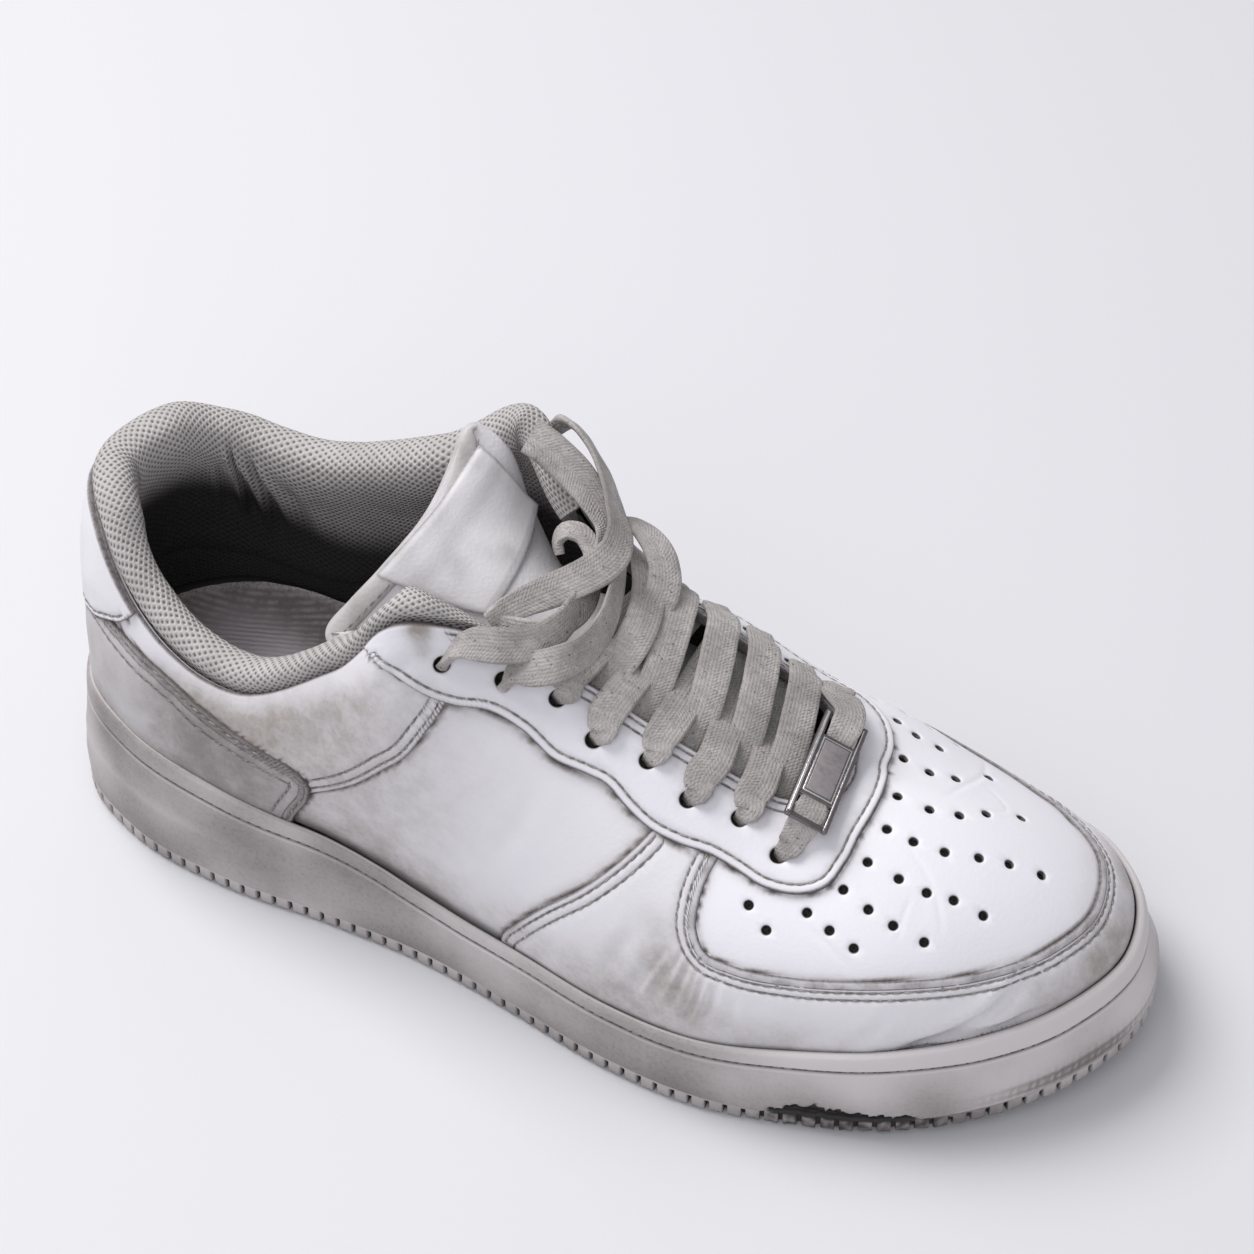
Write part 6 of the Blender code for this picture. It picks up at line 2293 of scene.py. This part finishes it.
@dataclass
class Studio:
    """Floor, soft light and the camera."""

    eye: tuple = (0.27092, -0.54420, 0.74501)
    azimuth: float = 25.629
    elevation: float = 46.676
    roll: float = -1.147
    lens: float = 101.775

    def build_camera(self) -> None:
        """Place the camera."""
        turn, rise, roll = (math.radians(angle) for angle in (self.azimuth, self.elevation, self.roll))
        back = Vector((math.sin(turn) * math.cos(rise), -math.cos(turn) * math.cos(rise), math.sin(rise)))
        level = Vector((math.cos(turn), math.sin(turn), 0))
        upright = back.cross(level)
        right = math.cos(roll) * level + math.sin(roll) * upright
        upward = -math.sin(roll) * level + math.cos(roll) * upright
        made = bpy.data.cameras.new("camera")
        made.lens, made.sensor_width, made.clip_start = self.lens, 36.0, 0.01
        camera = bpy.data.objects.new("camera", made)
        bpy.context.scene.collection.objects.link(camera)
        turned = Matrix((right, upward, back)).transposed().to_4x4()
        camera.matrix_world = Matrix.Translation(self.eye) @ turned
        bpy.context.scene.camera = camera

    def build_floor(self) -> None:
        """Make the plain pale floor."""
        deselect()
        bpy.ops.mesh.primitive_plane_add(size=8, location=(0, 0, -0.0004))
        floor = bpy.context.object
        floor.name = "floor"
        graph = Graph("pale_floor", 0.7)
        tone = graph.noise(900, 1, 0.4)
        colour = graph.mix(tone, (0.70, 0.692, 0.735), (0.735, 0.74, 0.75))
        floor.data.materials.append(graph.done(colour))

    def light(self, name: str, place: tuple, aim: tuple, size: float, power: float, colour: Colour) -> None:
        """Add a square soft light.

        Args:
            name: name of the light.
            place: where it is, in metres.
            aim: point that it faces.
            size: length of its side.
            power: watts.
            colour: its colour.
        """
        made = bpy.data.lights.new(name, "AREA")
        made.size, made.energy, made.color = size, power, colour
        lamp = bpy.data.objects.new(name, made)
        bpy.context.scene.collection.objects.link(lamp)
        lamp.location = place
        lamp.rotation_euler = (Vector(aim) - Vector(place)).to_track_quat("-Z", "Y").to_euler()

    def build(self) -> None:
        """Set up the floor and the lights."""
        bpy.context.scene.view_settings.view_transform = "Standard"
        self.build_floor()
        world = bpy.data.worlds.new("soft_sky")
        world.use_nodes = True
        sky = world.node_tree.nodes["Background"]
        sky.inputs["Color"].default_value = (0.95, 0.96, 1.0, 1.0)
        sky.inputs["Strength"].default_value = 0.45
        bpy.context.scene.world = world
        self.light("soft_key", (-0.75, 0.15, 1.35), (0.0, 0.0, 0.05), 0.8, 17.0, (1.0, 0.99, 0.985))
        self.light("soft_front", (0.2, -1.2, 1.5), (0.0, 0.0, 0.05), 1.4, 8.0, (0.97, 0.98, 1.0))


def main() -> None:
    """Build the shoe and the studio."""
    logging.basicConfig(level=logging.INFO, format="%(name)s %(message)s")
    studio = Studio()
    studio.build_camera()
    last = Last()
    wear = Wear(last)
    seams = Seams()
    Lacing(last).build()
    Keeper().build()
    Sole(last, wear, seams).build()
    Insole(last).build()
    Upper(last, wear, seams).build()
    Collar(last).build()
    Tongue(last, wear, seams).build()
    seams.build()
    studio.build()


if __name__ == "__main__":
    main()
